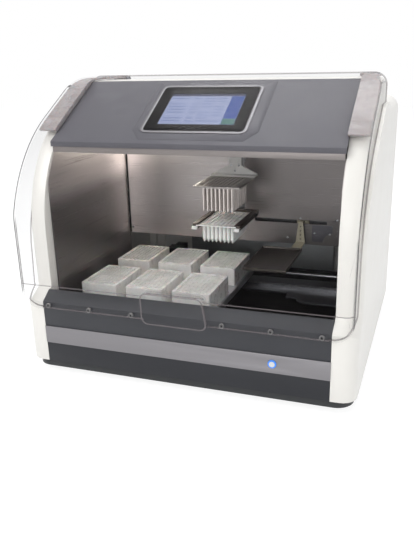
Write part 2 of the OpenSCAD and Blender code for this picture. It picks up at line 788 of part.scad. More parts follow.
module lift_screw() color([0.75, 0.75, 0.76]) machine()
    bar_z(436, motor_z0 + 10, lift_screw_x, layer_y[7] - motor_w / 2, screw_r);

module comb_carriage() color([0.62, 0.62, 0.64]) machine() {
    sy = layer_y[7] - motor_w / 2;
    box([lift_x - lift_w / 2, layer_y[3], comb_z - comb_rail_h + 2], [lift_x + lift_w / 2, layer_y[4], carriage_top_z]);
    box([lift_x - rail_w / 2, layer_y[2], 385], [lift_x + rail_w / 2, layer_y[3], carriage_top_z]);
    difference() {
        box([lift_x - lift_w / 2, layer_y[4], 482], [lift_x + lift_w / 2, layer_y[5] + 2.5, 532]);
        box([lift_x - rail_w / 2 - slide_gap, layer_y[5] - slide_gap, 481], [lift_x + rail_w / 2 + slide_gap, layer_y[6], 533]);
    }
    difference() {
        box([lift_x + lift_w / 2 - 2, layer_y[3], nut_z], [lift_screw_x + 9, sy + 9, nut_z + nut_h]);
        bar_z(nut_z - 1, nut_z + nut_h + 1, lift_screw_x, sy, screw_r + shaft_gap);
    }
    box([rod_screw_x - motor_w / 2, layer_y[3], motor_z0 - 6], [lift_x - lift_w / 2 + 2, layer_y[4], motor_z1]);
}

module comb_holder() color([0.25, 0.23, 0.22]) machine() {
    y0 = head_y - comb_rail_l / 2 + 5;
    y1 = y0 + comb_rail_l;
    for (s = [-1, 1]) translate([head_x, 0, 0]) mirror([s < 0 ? 1 : 0, 0, 0]) difference() {
        box([comb_w / 2 - 4, y0, comb_z - comb_rail_h + 3], [comb_w / 2 + 8, y1, comb_z + 3]);
        box([comb_w / 2 - 5, y0 - 1, comb_z - comb_flange_t - 0.3], [comb_w / 2 + slide_gap, y1 - 3, comb_z + 0.3]);
    }
    box([head_x - comb_w / 2 - 8, y1, comb_z - comb_rail_h + 3], [head_x + comb_w / 2 + 8, y1 + 10, comb_z + 3]);
    box([lift_x - lift_w / 2, y1 + 10, comb_z - comb_rail_h + 3], [lift_x + lift_w / 2, layer_y[3], comb_z + 3]);
    for (s = [-1, 1])
        box([head_x + s * (comb_w / 2 + 2.5) - 5.5, y0 - 6, comb_z - comb_rail_h + 2], [head_x + s * (comb_w / 2 + 2.5) + 5.5, y0, comb_z - 3]);
}

module tip_comb() color([0.92, 0.93, 0.94]) machine() {
    x0 = head_x - (well_nx - 1) * well_pitch / 2;
    y0 = head_y - (well_ny - 1) * well_pitch / 2;
    difference() {
        union() {
            box([head_x - comb_w / 2, head_y - comb_l / 2, comb_z - comb_flange_t], [head_x + comb_w / 2, head_y + comb_l / 2, comb_z]);
            for (i = [0:well_nx - 1], j = [0:well_ny - 1])
                translate([x0 + i * well_pitch, y0 + j * well_pitch, comb_z - sleeve_l]) {
                    translate([0, 0, tip_l]) cylinder(h = sleeve_l - tip_l - 1, r = sleeve_r, $fn = 16);
                    cylinder(h = tip_l, r1 = 0.8, r2 = sleeve_r, $fn = 16);
                }
        }
        for (i = [0:well_nx - 1], j = [0:well_ny - 1])
            translate([x0 + i * well_pitch, y0 + j * well_pitch, comb_z - sleeve_l + tip_l - 1])
                cylinder(h = sleeve_l, r = rod_r + rod_gap, $fn = 16);
    }
}

module rod_motor() color([0.1, 0.1, 0.11]) machine() difference() {
    box([rod_screw_x - motor_w / 2, layer_y[3] - motor_w + 6, motor_z0], [rod_screw_x + motor_w / 2, layer_y[3], motor_z1]);
    bar_z(motor_z0 - 2, motor_z0 + 12, rod_screw_x, layer_y[1] + 5, screw_r + 1);
}

module rod_screw() color([0.75, 0.75, 0.76]) machine()
    bar_z(444, motor_z0 + 10, rod_screw_x, layer_y[1] + 5, screw_r);

module rod_carriage() color([0.85, 0.85, 0.84]) machine() {
    x0 = lift_x - lift_w / 2;
    x1 = lift_x + lift_w / 2;
    difference() {
        union() {
            box([x0, layer_y[0], rod_plate_z + 20], [x1, layer_y[1], carriage_top_z]);
            along_y(layer_y[0], layer_y[1]) polygon([[x0, rod_plate_z + 22], [head_x - rod_plate_w / 2, rod_plate_z + 4],
                [head_x - rod_plate_w / 2, rod_plate_z], [head_x + rod_plate_w / 2, rod_plate_z], [head_x + rod_plate_w / 2, rod_plate_z + 4],
                [x1, rod_plate_z + 22]]);
            box([head_x - rod_plate_w / 2, head_y + rod_plate_l / 2 - 8, rod_plate_z], [head_x + rod_plate_w / 2, layer_y[1], rod_plate_z + 3]);
        }
        for (x = [-9, 9]) bar_y(layer_y[0] - 1, layer_y[1] + 1, lift_x + x, rod_plate_z + 26, 1.6);
        bar_y(layer_y[0] - 1, layer_y[1] + 1, lift_x, rod_plate_z + 14, 1.6);
        bar_y(layer_y[0] - 1, layer_y[1] + 1, lift_x + 7, 425, 1.6);
    }
    difference() {
        box([x0 + 2, layer_y[1], 482], [x1 - 2, layer_y[2] + 2.5, 532]);
        box([lift_x - rail_w / 2 - slide_gap, layer_y[2] - slide_gap, 481], [lift_x + rail_w / 2 + slide_gap, layer_y[3], 533]);
    }
    difference() {
        box([rod_screw_x - 9, layer_y[0], nut_z - 6], [x0 + 3, layer_y[2], nut_z + 2]);
        bar_z(nut_z - 7, nut_z + 3, rod_screw_x, layer_y[1] + 5, screw_r + shaft_gap);
    }
}

module rod_plate() color([0.55, 0.54, 0.54]) machine() {
    x0 = head_x - (well_nx - 1) * well_pitch / 2;
    y0 = head_y - (well_ny - 1) * well_pitch / 2;
    difference() {
        box([head_x - rod_plate_w / 2, head_y - rod_plate_l / 2, rod_plate_z - rod_plate_t],
            [head_x + rod_plate_w / 2, head_y + rod_plate_l / 2, rod_plate_z]);
        for (i = [0:well_nx - 1], j = [0:well_ny - 1])
            translate([x0 + i * well_pitch, y0 + j * well_pitch, rod_plate_z - 1]) cylinder(h = 2, r = 3.4, $fn = 16);
    }
}

module magnet_rods() color([0.8, 0.76, 0.74]) machine() {
    x0 = head_x - (well_nx - 1) * well_pitch / 2;
    y0 = head_y - (well_ny - 1) * well_pitch / 2;
    z1 = rod_plate_z - rod_plate_t;
    box([x0 - 6, y0 - 6, z1 - 1.5], [head_x * 2 - x0 + 6, head_y * 2 - y0 + 6, z1]);
    for (i = [0:well_nx - 1], j = [0:well_ny - 1])
        translate([x0 + i * well_pitch, y0 + j * well_pitch, rod_plate_z - rod_plate_t - rod_l])
            cylinder(h = rod_l, r = rod_r, $fn = 16);
}

// ---------- drip tray ----------

module drip_tray() color([0.3, 0.29, 0.28]) machine() {
    difference() {
        box([drip_x0, drip_y0, drip_z], [drip_x0 + drip_w, drip_y0 + drip_l, drip_z + drip_rim]);
        box([drip_x0 + 2, drip_y0 + 2, drip_z + 2], [drip_x0 + drip_w - 2, drip_y0 + drip_l - 2, drip_z + 20]);
    }
}

module drip_carriage() color([0.72, 0.7, 0.62]) machine() {
    x = drip_arm_x;
    box([x - 11, drip_y0 + drip_l, drip_z], [x + 11, 399, drip_z + 3]);
    difference() {
        along_y(399, 402) polygon([[x - 11, drip_z], [x + 11, drip_z], [x + 5, slot_z + 3], [x - 5, slot_z + 3]]);
        for (i = [0:3]) bar_y(398, 403, x, drip_z + 10 + i * 10, 2);
    }
    box([x - 5, 402, slot_z - 3], [x + 5, 424, slot_z + 3]);
    difference() {
        box([x - 14, 424, slot_z - 14], [x + 14, 436.5, slot_z + 14]);
        box([x - 15, 434 - slide_gap, slot_z - rail_w / 2 - slide_gap], [x + 15, 437, slot_z + rail_w / 2 + slide_gap]);
    }
}

module drip_rail() color([0.7, 0.7, 0.72]) machine() {
    box([slot_x0 - 30, 434, slot_z - rail_w / 2], [slot_x1 + 10, 438, slot_z + rail_w / 2]);
    box([slot_x0 - 30, 438, slot_z - 20], [slot_x1 + 10, 441, slot_z + 20]);
    for (x = [slot_x0 - 30, slot_x1 + 7]) box([x, back_y + wall_t, slot_z - 20], [x + 3, 438, slot_z + 20]);
}

// ---------- hood ----------

// outer side curve of the hood moved in by d, from dz below its lower edge up and back to y1
function hood_curve(d, dz, y1) = concat(
    [[chin_y + d + dz * chin_slope, hood_z0 - dz], [-hood_proud + d, ledge_z]],
    arc(face_centre(-hood_proud, hood_r, slope_c + hood_rise), hood_r - d, 180, 90 + slope_a, 16),
    arc(top_centre(hood_top_z, hood_top_r, slope_c + hood_rise), hood_top_r - d, 90 + slope_a, 90, 5),
    [[y1, hood_top_z - d]]
);

// rear edge of the hood's sides, g off the housings' shoulder, then the sill's step
function hood_back(g) = let (d = shoulder_d - g) concat(
    arc(top_centre(hood_top_z, hood_top_r, slope_c + hood_rise), hood_top_r - d, 90, 90 + slope_a, 4),
    arc(face_centre(-hood_proud, hood_r, slope_c + hood_rise), hood_r - d, 90 + slope_a, 180, 12),
    [[cheek_y - g, sill_top_z + g], [-g, sill_z + g], [-g, hood_z0]]
);

// front view of the hood, drawn in by d
module hood_front_outline(d) {
    x = hood_x - d;
    r = hood_corner_r - d;
    z0 = hood_z0 + d;
    z1 = hood_top_z - d;
    q = hood_top_corner_r - d;
    translate([-x, z0 + r]) square([2 * x, z1 - q - z0 - r]);
    translate([-x + r, z0]) square([2 * x - 2 * r, z1 - z0]);
    translate([-x + q, z0 + r]) square([2 * x - 2 * q, z1 - z0 - r]);
    for (s = [-1, 1]) {
        translate([s * (x - r), z0 + r]) circle(r = r);
        translate([s * (x - q), z1 - q]) circle(r = q);
    }
}

// plan of the hood, drawn in by d, with its front corners rounded
module hood_plan(d) {
    x = hood_x - d;
    y = -hood_proud + d;
    r = hood_plan_r - d;
    translate([-x, y + r]) square([2 * x, hood_rear_y + 20]);
    translate([-x + r, y]) square([2 * x - 2 * r, hood_rear_y]);
    for (s = [-1, 1]) translate([s * (x - r), y + r]) circle(r = r);
}

module hood_solid(d) intersection() {
    children();
    along_y(-hood_proud - 1, hood_rear_y + 10) hood_front_outline(d);
    translate([0, 0, hood_z0 - 20]) linear_extrude(height = hood_top_z) hood_plan(d);
}

// pull recess: a cup with round corners that widens towards its foot, drawn in by d
module handle_outline(d) {
    x0 = handle_w / 2 - d;
    x1 = handle_w / 2 + handle_flare - d;
    r = handle_r - d;
    hull() for (s = [-1, 1]) {
        translate([s * (x0 - r), handle_top_z - d - r]) circle(r = r, $fn = 32);
        translate([s * (x1 - r), handle_bottom_z + d + r]) circle(r = r, $fn = 32);
    }
}

module hood() color([0.8, 0.82, 0.84, 0.4]) machine() {
    y_lip = -hood_proud - handle_lip;
    y_low = chin_y - handle_low_lip;
    y_end = hood_rear_y + 5;
    difference() {
        union() {
            difference() {
                hood_solid(0) along_x(-hood_x - 1, hood_x + 1)
                    polygon(concat(hood_curve(0, 0, hood_rear_y),
                        [[hood_rear_y, roof_z + hood_gap]], hood_back(hood_gap)));
                hood_solid(hood_t) along_x(-hood_x, hood_x)
                    polygon(concat(hood_curve(hood_t, 10, y_end), [[y_end, hood_z0 - 10]]));
                box([-chamber_x + 4, chin_y + hood_t + 1, hood_z0 - 1], [chamber_x - 4, 0, hood_z0 + hood_t + 1]);
            }
            intersection() {
                along_y(y_lip, -handle_gap) handle_outline(0);
                along_x(-handle_w, handle_w) polygon([[y_lip, handle_top_z + 1],
                    [0, handle_top_z + 1], [0, handle_bottom_z - 1], [y_low, handle_bottom_z - 1]]);
            }
        }
        along_y(y_lip - 1, -handle_gap - hood_t) handle_outline(hood_t);
    }
}

// side outline of a pad: it fills the space between the housing's crown and the hood
function pad_outline() = concat(
    [[hood_rear_y, crown_z + pad_lift]],
    arc(top_centre(crown_z, cheek_top_r, slope_c), cheek_top_r + pad_lift, 90, 90 + slope_a, 4),
    [for (q = [[pad_y0 + 6, slope_c + pad_lift], [pad_y0, slope_c + pad_lift + 5], [pad_y0, slope_c + hood_rise]])
        [q[0], (q[1] + sin_a * q[0]) / cos_a]],
    arc(top_centre(hood_top_z, hood_top_r, slope_c + hood_rise), hood_top_r, 90 + slope_a, 90, 5),
    [[hood_rear_y, hood_top_z]]
);

module hood_arms() color([0.8, 0.78, 0.78]) machine() mirrored() difference() {
    union() {
        intersection() {
            hood_solid(hood_t) along_x(pad_x0, pad_x0 + pad_w) polygon(pad_outline());
            along_x(pad_x0, pad_x0 + pad_w) polygon(concat(hood_curve(hood_t, 10, hood_rear_y),
                [[hood_rear_y, hood_z0]]));
        }
        box([arm_x0, hood_rear_y - 12, crown_z + pad_lift], [arm_x0 + arm_w, pivot_y, hood_top_z - hood_t]);
        bar_x(arm_x0, arm_x0 + arm_w, pivot_y, pivot_z, barrel_r);
    }
    bar_x(arm_x0 - 1, arm_x0 + arm_w + 1, pivot_y, pivot_z, hinge_pin_r + shaft_gap);
}

module hinge_blocks() color([0.35, 0.35, 0.36]) machine() mirrored() difference() {
    y0 = crown_rear_y + 1;
    union() {
        for (x = [arm_x0 - ear_gap - ear_t, arm_x0 + arm_w + ear_gap]) along_x(x, x + ear_t) {
            polygon([[y0, roof_z], [pivot_y + 12, roof_z], [pivot_y + 10, pivot_z], [pivot_y - 10, pivot_z]]);
            translate([pivot_y, pivot_z]) circle(r = 10);
        }
        box([arm_x0 - ear_gap - ear_t, y0, roof_z],
            [arm_x0 + arm_w + ear_gap + ear_t, pivot_y + 12, roof_z + ear_t]);
    }
    bar_x(arm_x0 - 20, arm_x0 + arm_w + 20, pivot_y, pivot_z, hinge_pin_r);
}

module hinge_pins() color([0.75, 0.75, 0.76]) machine() mirrored()
    bar_x(arm_x0 - ear_gap - ear_t, arm_x0 + arm_w + ear_gap + ear_t, pivot_y, pivot_z, hinge_pin_r);

// ---------- rear ----------

module fan_frame() color([0.1, 0.1, 0.1]) machine() {
    y1 = body_d - sheet_t;
    difference() {
        box([fan_x - fan_w / 2, y1 - 25, fan_z - fan_w / 2], [fan_x + fan_w / 2, y1, fan_z + fan_w / 2]);
        bar_y(y1 - 22, y1 + 1, fan_x, fan_z, fan_w / 2 - 2);
        for (s = [-1, 1]) {
            box([fan_x + s * 21 - 9, y1 - 26, fan_z - 30], [fan_x + s * 21 + 9, y1 - 20, fan_z + 30]);
        }
    }
    bar_y(y1 - 24, y1 - 6, fan_x, fan_z, 3);
}

module fan_rotor() color([0.15, 0.15, 0.15]) machine() {
    y1 = body_d - sheet_t;
    difference() {
        union() {
            bar_y(y1 - 20, y1 - 3, fan_x, fan_z, 15);
            for (i = [0:6]) translate([fan_x, y1 - 18, fan_z]) rotate([0, i * 360 / 7, 0])
                translate([13, 0, -1]) rotate([30, 0, 0]) cube([23, 14, 2]);
        }
        bar_y(y1 - 25, y1 - 5.5, fan_x, fan_z, 3 + shaft_gap);
    }
}

module mains_inlet() color([0.08, 0.08, 0.08]) machine() {
    y1 = body_d;
    difference() {
        box([inlet_x - 14, y1 - 30, inlet_z - 30], [inlet_x + 14, y1, inlet_z + 30]);
        box([inlet_x - 12, y1 - 18, inlet_z - 28], [inlet_x + 12, y1 + 1, inlet_z + 6]);
        box([inlet_x - 11, y1 - 14, inlet_z + 10], [inlet_x + 11, y1 + 1, inlet_z + 27]);
    }
    for (p = [[-7, -16], [7, -16], [0, -7]])
        box([inlet_x + p[0] - 1, y1 - 20, inlet_z + p[1] - 2], [inlet_x + p[0] + 1, y1 - 3, inlet_z + p[1] + 2]);
    mirrored_at(inlet_x) bar_x(inlet_x + 6, inlet_x + 12, y1 - 6, inlet_z + 18.5, 1.5);
}

module mirrored_at(x) {
    children();
    translate([2 * x, 0, 0]) mirror([1, 0, 0]) children();
}

module mains_switch() color([0.15, 0.15, 0.15]) machine() difference() {
    along_x(inlet_x - 9.5, inlet_x + 9.5) translate([body_d - 6, inlet_z + 18.5])
        polygon([[-3, -4], [-1, -7.2], [4.5, -7.6], [3.2, 0], [4.5, 7.6], [-1, 7.2], [-3, 4]]);
    bar_x(inlet_x - 12, inlet_x + 12, body_d - 6, inlet_z + 18.5, 1.5 + shaft_gap);
}

module control_unit() color([0.5, 0.52, 0.55]) machine() {
    difference() {
        box([ports_x - unit_side, deck_y1 + 2, plinth_z], [ports_x - unit_side + unit_w, body_d - sheet_t, unit_z]);
        for (x = [-24, -6]) box([ports_x + x, body_d - 18, ports_z - 3], [ports_x + x + 13, body_d, ports_z + 3.5]);
        box([ports_x + 12, body_d - 18, ports_z - 6], [ports_x + 28, body_d, ports_z + 6]);
    }
}

base_pan();
feet();
left_housing();
right_housing();
top_cover();
rear_panel();
slope_panel();
screen_bezel();
screen_glass();
display_module();
sill_panel();
trim_strip();
lower_panel();
power_button();
button_ring();
hood_bumpers();
left_wall();
right_wall();
back_wall();
ceiling_panel();
chamber_lamp();
slot_cover();
deck();
y_rails();
y_screw();
y_motor();
y_carriage();
x_rails();
x_screw();
x_motor();
plate_tray();
deep_well_plate_1();
deep_well_plate_2();
deep_well_plate_3();
deep_well_plate_4();
deep_well_plate_5();
deep_well_plate_6();
lift_mast();
lift_motor();
lift_screw();
comb_carriage();
comb_holder();
tip_comb();
rod_motor();
rod_screw();
rod_carriage();
rod_plate();
magnet_rods();
drip_tray();
drip_carriage();
drip_rail();
hood();
hood_arms();
hinge_blocks();
hinge_pins();
fan_frame();
fan_rotor();
mains_inlet();
mains_switch();
control_unit();
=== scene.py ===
"""Looks for a bench-top nucleic acid extractor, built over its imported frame."""

import json
import logging
import math
from dataclasses import dataclass, field
from enum import Enum, IntEnum
from typing import Sequence

import bmesh
import bpy
from mathutils import Matrix, Vector


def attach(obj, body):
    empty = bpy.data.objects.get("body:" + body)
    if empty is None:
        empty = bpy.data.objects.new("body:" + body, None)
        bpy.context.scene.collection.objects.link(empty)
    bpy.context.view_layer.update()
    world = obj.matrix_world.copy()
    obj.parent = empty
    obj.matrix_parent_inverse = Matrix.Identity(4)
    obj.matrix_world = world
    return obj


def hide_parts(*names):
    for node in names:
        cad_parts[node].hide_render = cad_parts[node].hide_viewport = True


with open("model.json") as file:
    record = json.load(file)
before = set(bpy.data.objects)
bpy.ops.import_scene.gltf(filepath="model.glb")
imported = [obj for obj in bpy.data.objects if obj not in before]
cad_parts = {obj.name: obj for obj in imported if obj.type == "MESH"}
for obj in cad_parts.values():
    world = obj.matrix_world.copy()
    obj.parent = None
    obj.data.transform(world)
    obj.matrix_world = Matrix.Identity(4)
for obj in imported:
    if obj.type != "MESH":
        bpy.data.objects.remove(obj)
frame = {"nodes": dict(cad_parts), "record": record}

LOG = logging.getLogger("extractor")
MM = 0.001
# the front strip's face stands this far in front of the frame's origin
FRONT_Y = -306.5
# tilt of the panel that carries the screen
SLOPE = math.radians(29.0)
# middle of the lifting head, to the right of the machine's middle
LIFT_X = 15.0
# corners closer than this, in metres, are one corner: in a CAD mesh, and along a spun seam
WELD = 0.00001
SEAM = 0.000001
# faces that bend less than this are one face
COPLANAR = math.radians(0.5)

Colour = tuple[float, float, float]
Socket = bpy.types.NodeSocket


class Axis(Enum):
    """Direction in which a brushed finish was drawn, with the scale that it gives noise on each axis."""

    X = (0.6, 90.0, 90.0)
    Y = (90.0, 0.6, 90.0)
    Z = (90.0, 90.0, 0.6)


def point(x: float, y: float, z: float) -> Vector:
    """Place in the frame of a point measured from the front strip.

    Args:
        x: millimetres to the right of the middle.
        y: millimetres behind the front strip.
        z: millimetres above the bench.

    Returns:
        The point in metres in the frame.
    """
    return Vector((x * MM, (y + FRONT_Y) * MM, z * MM))


@dataclass(frozen=True)
class PaintedFade:
    """Painted reflection and shade: brightness changed along an axis in the colour, standing in for the room
    mirrored in sheet metal and for light that falls off across it.

    It starts at the low place and ends at the high one, both in metres.
    """

    axis: Axis
    low: float
    high: float
    start: float
    end: float


def colour(text: str) -> Colour:
    """Linear colour of a display colour written as six hexadecimal digits."""
    channels = (int(text[i : i + 2], 16) / 255 for i in (0, 2, 4))
    return tuple(c / 12.92 if c <= 0.04045 else ((c + 0.055) / 1.055) ** 2.4 for c in channels)


class Tree:
    """Small helper that adds and joins the nodes of one material.

    Most of a noise's factor lies inside the two spans, of which the first drives values and the
    second drives colours.
    """

    VALUE_SPAN = (0.3, 0.7)
    COLOUR_SPAN = (0.32, 0.68)

    def __init__(self, name: str) -> None:
        """Starts an empty material.

        Args:
            name: the material's name.
        """
        self.material = bpy.data.materials.new(name)
        self.material.use_nodes = True
        self.nodes = self.material.node_tree.nodes
        self.links = self.material.node_tree.links
        self.nodes.clear()
        self.output = self.nodes.new("ShaderNodeOutputMaterial")
        self.coordinates = self.nodes.new("ShaderNodeTexCoord")

    def add(self, kind: str, **values: object) -> bpy.types.Node:
        """Adds a node and sets its sockets by name or its attributes.

        Args:
            kind: the node type, without its Shader prefix.
            values: socket or attribute values, with spaces written as underscores.

        Returns:
            The new node.
        """
        node = self.nodes.new("ShaderNode" + kind)
        for key, value in values.items():
            socket = node.inputs.get(key.replace("_", " "))
            if socket is not None:
                socket.default_value = value
            else:
                setattr(node, key, value)
        return node

    def join(self, source: Socket, target: Socket) -> None:
        """Links two sockets."""
        self.links.new(source, target)

    def noise(self, scale: float, detail: float = 4.0, stretch: Sequence[float] = (1, 1, 1)) -> Socket:
        """Noise on object coordinates.

        Args:
            scale: repeats per metre.
            detail: octaves.
            stretch: scale of the three axes, for drawn or streaked finishes.

        Returns:
            The noise's factor socket.
        """
        mapping = self.add("Mapping")
        mapping.inputs["Scale"].default_value = stretch
        self.join(self.coordinates.outputs["Object"], mapping.inputs["Vector"])
        noise = self.add("TexNoise", Scale=scale, Detail=detail, Roughness=0.55)
        self.join(mapping.outputs["Vector"], noise.inputs["Vector"])
        return noise.outputs["Fac"]

    def ramp(self, factor: Socket, low: float, high: float) -> Socket:
        """Maps the middle of a noise's factor onto a range.

        Args:
            factor: the factor's socket.
            low: value at a low factor.
            high: value at a high factor.

        Returns:
            The value's socket.
        """
        least, most = self.VALUE_SPAN
        node = self.add("MapRange", From_Min=least, From_Max=most, To_Min=low, To_Max=high)
        self.join(factor, node.inputs["Value"])
        return node.outputs["Result"]

    def blend(self, factor: Socket, a: Colour, b: Colour) -> Socket:
        """Mixes two colours by a factor.

        Args:
            factor: the factor's socket.
            a: colour at a low factor.
            b: colour at a high factor.

        Returns:
            The colour's socket.
        """
        node = self.add("ValToRGB")
        for stop, place, tone in zip(node.color_ramp.elements, self.COLOUR_SPAN, (a, b)):
            stop.position = place
            stop.color = (*tone, 1.0)
        self.join(factor, node.inputs["Fac"])
        return node.outputs["Color"]

    def fade(self, tone: Socket, change: PaintedFade) -> Socket:
        """Paints light and shade into a tone along an axis.

        Args:
            tone: the colour to change.
            change: where it changes and by how much.

        Returns:
            The changed colour.
        """
        axes = self.add("SeparateXYZ")
        self.join(self.coordinates.outputs["Object"], axes.inputs["Vector"])
        level = self.add(
            "MapRange", From_Min=change.low, From_Max=change.high, To_Min=change.start, To_Max=change.end,
            interpolation_type="SMOOTHSTEP",
        )
        self.join(axes.outputs[change.axis.name], level.inputs["Value"])
        mixed = self.add("MixRGB", blend_type="MULTIPLY", Fac=1.0)
        self.join(tone, mixed.inputs["Color1"])
        self.join(level.outputs["Result"], mixed.inputs["Color2"])
        return mixed.outputs["Color"]

    def bump(self, height: Socket, depth: float, strength: float = 0.5) -> Socket:
        """Bends the normal by a height.

        Args:
            height: the height's socket.
            depth: what a height of one stands for, in metres.
            strength: how much of the bend shows.

        Returns:
            The normal's socket.
        """
        node = self.add("Bump", Strength=strength, Distance=depth)
        self.join(height, node.inputs["Height"])
        return node.outputs["Normal"]

    def finish(self, shader: bpy.types.Node) -> bpy.types.Material:
        """Sends a shader to the output and gives the material back."""
        self.join(shader.outputs[0], self.output.inputs["Surface"])
        return self.material


def shade(base: Colour, change: float) -> Colour:
    """A colour made lighter or darker by a share of itself."""
    return tuple(min(1.0, c * (1.0 + change)) for c in base)


@dataclass(frozen=True)
class Moulding:
    """Painted or moulded skin with a fine grain and a slight change of tone.

    Grain, patches and wear are repeats per metre, and the depth is in metres.
    """

    name: str
    tone: str
    roughness: float = 0.4
    grain: float = 900.0
    depth: float = 0.00005
    mottle: float = 0.05
    specular: float = 0.5
    coat: float = 0.0
    patches: float = 9.0
    wear: float = 34.0

    def build(self) -> bpy.types.Material:
        """Makes the material.

        Returns:
            The material, with all its nodes joined.
        """
        tree = Tree(self.name)
        base = colour(self.tone)
        shader = tree.add("BsdfPrincipled")
        shader.inputs["Specular IOR Level"].default_value = self.specular
        shader.inputs["Coat Weight"].default_value = self.coat
        tone = tree.blend(tree.noise(self.patches, 3.0), shade(base, -self.mottle), shade(base, self.mottle))
        tree.join(tone, shader.inputs["Base Color"])
        wear = tree.noise(self.wear, 5.0)
        tree.join(tree.ramp(wear, self.roughness * 0.86, self.roughness * 1.14), shader.inputs["Roughness"])
        tree.join(tree.bump(tree.noise(self.grain, 2.0), self.depth, 0.35), shader.inputs["Normal"])
        return tree.finish(shader)


@dataclass(frozen=True)
class Brushed:
    """Bare metal with the fine streaks of its drawing direction and faint smudges, and painted reflection
    and shade where fades are given.

    Fine and cloud are repeats per metre of the streaks and the smudges, and the groove is in metres.
    """

    name: str
    tone: str
    axis: Axis = Axis.X
    roughness: float = 0.34
    streak: float = 0.10
    smudge: float = 0.08
    metallic: float = 1.0
    fine: float = 14.0
    cloud: float = 7.0
    groove: float = 0.00001
    # painted reflection and shade: ramps that brighten or darken the colour along axes
    painted_fades: tuple[PaintedFade, ...] = ()

    def build(self) -> bpy.types.Material:
        """Makes the material.

        Returns:
            The material, with all its nodes joined.
        """
        tree = Tree(self.name)
        base = colour(self.tone)
        shader = tree.add("BsdfPrincipled", Metallic=self.metallic)
        lines = tree.noise(self.fine, 6.0, self.axis.value)
        streaks = tree.blend(lines, shade(base, -self.streak), shade(base, self.streak))
        smudges = tree.blend(tree.noise(self.cloud, 4.0), (1 - self.smudge,) * 3, (1.0,) * 3)
        mixed = tree.add("MixRGB", blend_type="MULTIPLY", Fac=0.8)
        tree.join(streaks, mixed.inputs["Color1"])
        tree.join(smudges, mixed.inputs["Color2"])
        tone = mixed.outputs["Color"]
        # paint reflection and shade into the colour
        for change in self.painted_fades:
            tone = tree.fade(tone, change)
        tree.join(tone, shader.inputs["Base Color"])
        tree.join(tree.ramp(lines, self.roughness * 0.8, self.roughness * 1.25), shader.inputs["Roughness"])
        tree.join(tree.bump(lines, self.groove, 0.12), shader.inputs["Normal"])
        return tree.finish(shader)


@dataclass(frozen=True)
class Clear:
    """Clear sheet: light passes, and the surface shows at grazing angles and in its gloss.

    It covers by the facing share up to the rim angle and by the grazing share from the full angle on.
    Haze and scuffs are repeats per metre.
    """

    name: str
    tone: str
    facing: float = 0.07
    grazing: float = 0.55
    roughness: float = 0.04
    rim: float = 0.0
    full: float = 1.0
    haze: float = 6.0
    scuffs: float = 60.0

    def build(self) -> bpy.types.Material:
        """Makes the material.

        Returns:
            The material, with all its nodes joined.
        """
        tree = Tree(self.name)
        shader = tree.add("BsdfPrincipled", IOR=1.5)
        base = colour(self.tone)
        tone = tree.blend(tree.noise(self.haze, 3.0), shade(base, -0.03), shade(base, 0.03))
        tree.join(tone, shader.inputs["Base Color"])
        scuffs = tree.noise(self.scuffs, 5.0)
        tree.join(tree.ramp(scuffs, self.roughness * 0.7, self.roughness * 1.5), shader.inputs["Roughness"])
        edge = tree.add("LayerWeight", Blend=0.25)
        cover = tree.add(
            "MapRange", From_Min=self.rim, From_Max=self.full, To_Min=self.facing, To_Max=self.grazing,
        )
        tree.join(edge.outputs["Facing"], cover.inputs["Value"])
        tree.join(cover.outputs["Result"], shader.inputs["Alpha"])
        tree.material.surface_render_method = "BLENDED"
        return tree.finish(shader)


@dataclass(frozen=True)
class Frosted:
    """Milky plastic that lets light in: plates, combs and the ribbed pads.

    Its depths are in metres: how far light goes in, and how high the ribs or the grain stand. Ribs,
    cloud, scuffs and grain are repeats per metre.
    """

    name: str
    tone: str
    roughness: float = 0.38
    depth: float = 0.004
    weight: float = 0.35
    alpha: float = 1.0
    ribs: float = 0.0
    cloud: float = 26.0
    scuffs: float = 70.0
    grain: float = 240.0
    rib_depth: float = 0.0006
    grain_depth: float = 0.0001

    def build(self) -> bpy.types.Material:
        """Makes the material.

        Returns:
            The material, with all its nodes joined.
        """
        tree = Tree(self.name)
        base = colour(self.tone)
        shader = tree.add("BsdfPrincipled", IOR=1.49, Alpha=self.alpha)
        shader.inputs["Subsurface Weight"].default_value = self.weight
        shader.inputs["Subsurface Scale"].default_value = self.depth
        tone = tree.blend(tree.noise(self.cloud, 5.0), shade(base, -0.10), shade(base, 0.05))
        tree.join(tone, shader.inputs["Base Color"])
        scuffs = tree.noise(self.scuffs, 4.0)
        tree.join(tree.ramp(scuffs, self.roughness * 0.75, self.roughness * 1.2), shader.inputs["Roughness"])
        height, step = tree.noise(self.grain, 3.0), self.grain_depth
        if self.ribs:
            turn = tree.add("Mapping", Rotation=(-SLOPE, 0.0, 0.0))
            tree.join(tree.coordinates.outputs["Object"], turn.inputs["Vector"])
            wave = tree.add("TexWave", Scale=self.ribs, Distortion=0.6, Detail=2.0, bands_direction="Y")
            tree.join(turn.outputs["Vector"], wave.inputs["Vector"])
            height, step = wave.outputs["Fac"], self.rib_depth
        tree.join(tree.bump(height, step), shader.inputs["Normal"])
        return tree.finish(shader)


@dataclass(frozen=True)
class Lit:
    """Surface that gives its own light, slightly uneven like a real panel, and is nearly black unlit."""

    name: str
    tone: str
    strength: float = 1.0
    gloss: float = 0.3
    cloud: float = 22.0
    grain: float = 40.0

    def build(self) -> bpy.types.Material:
        """Makes the material.

        Returns:
            The material, with all its nodes joined.
        """
        tree = Tree(self.name)
        base = colour(self.tone)
        shader = tree.add("BsdfPrincipled", Roughness=self.gloss)
        shader.inputs["Specular IOR Level"].default_value = 0.08
        shader.inputs["Emission Strength"].default_value = self.strength
        unlit = tree.blend(tree.noise(self.grain), shade(base, -0.92), shade(base, -0.88))
        tree.join(unlit, shader.inputs["Base Color"])
        glow = tree.blend(tree.noise(self.cloud, 3.0), shade(base, -0.05), shade(base, 0.05))
        tree.join(glow, shader.inputs["Emission Color"])
        return tree.finish(shader)


Finish = Moulding | Brushed | Clear | Frosted | Lit


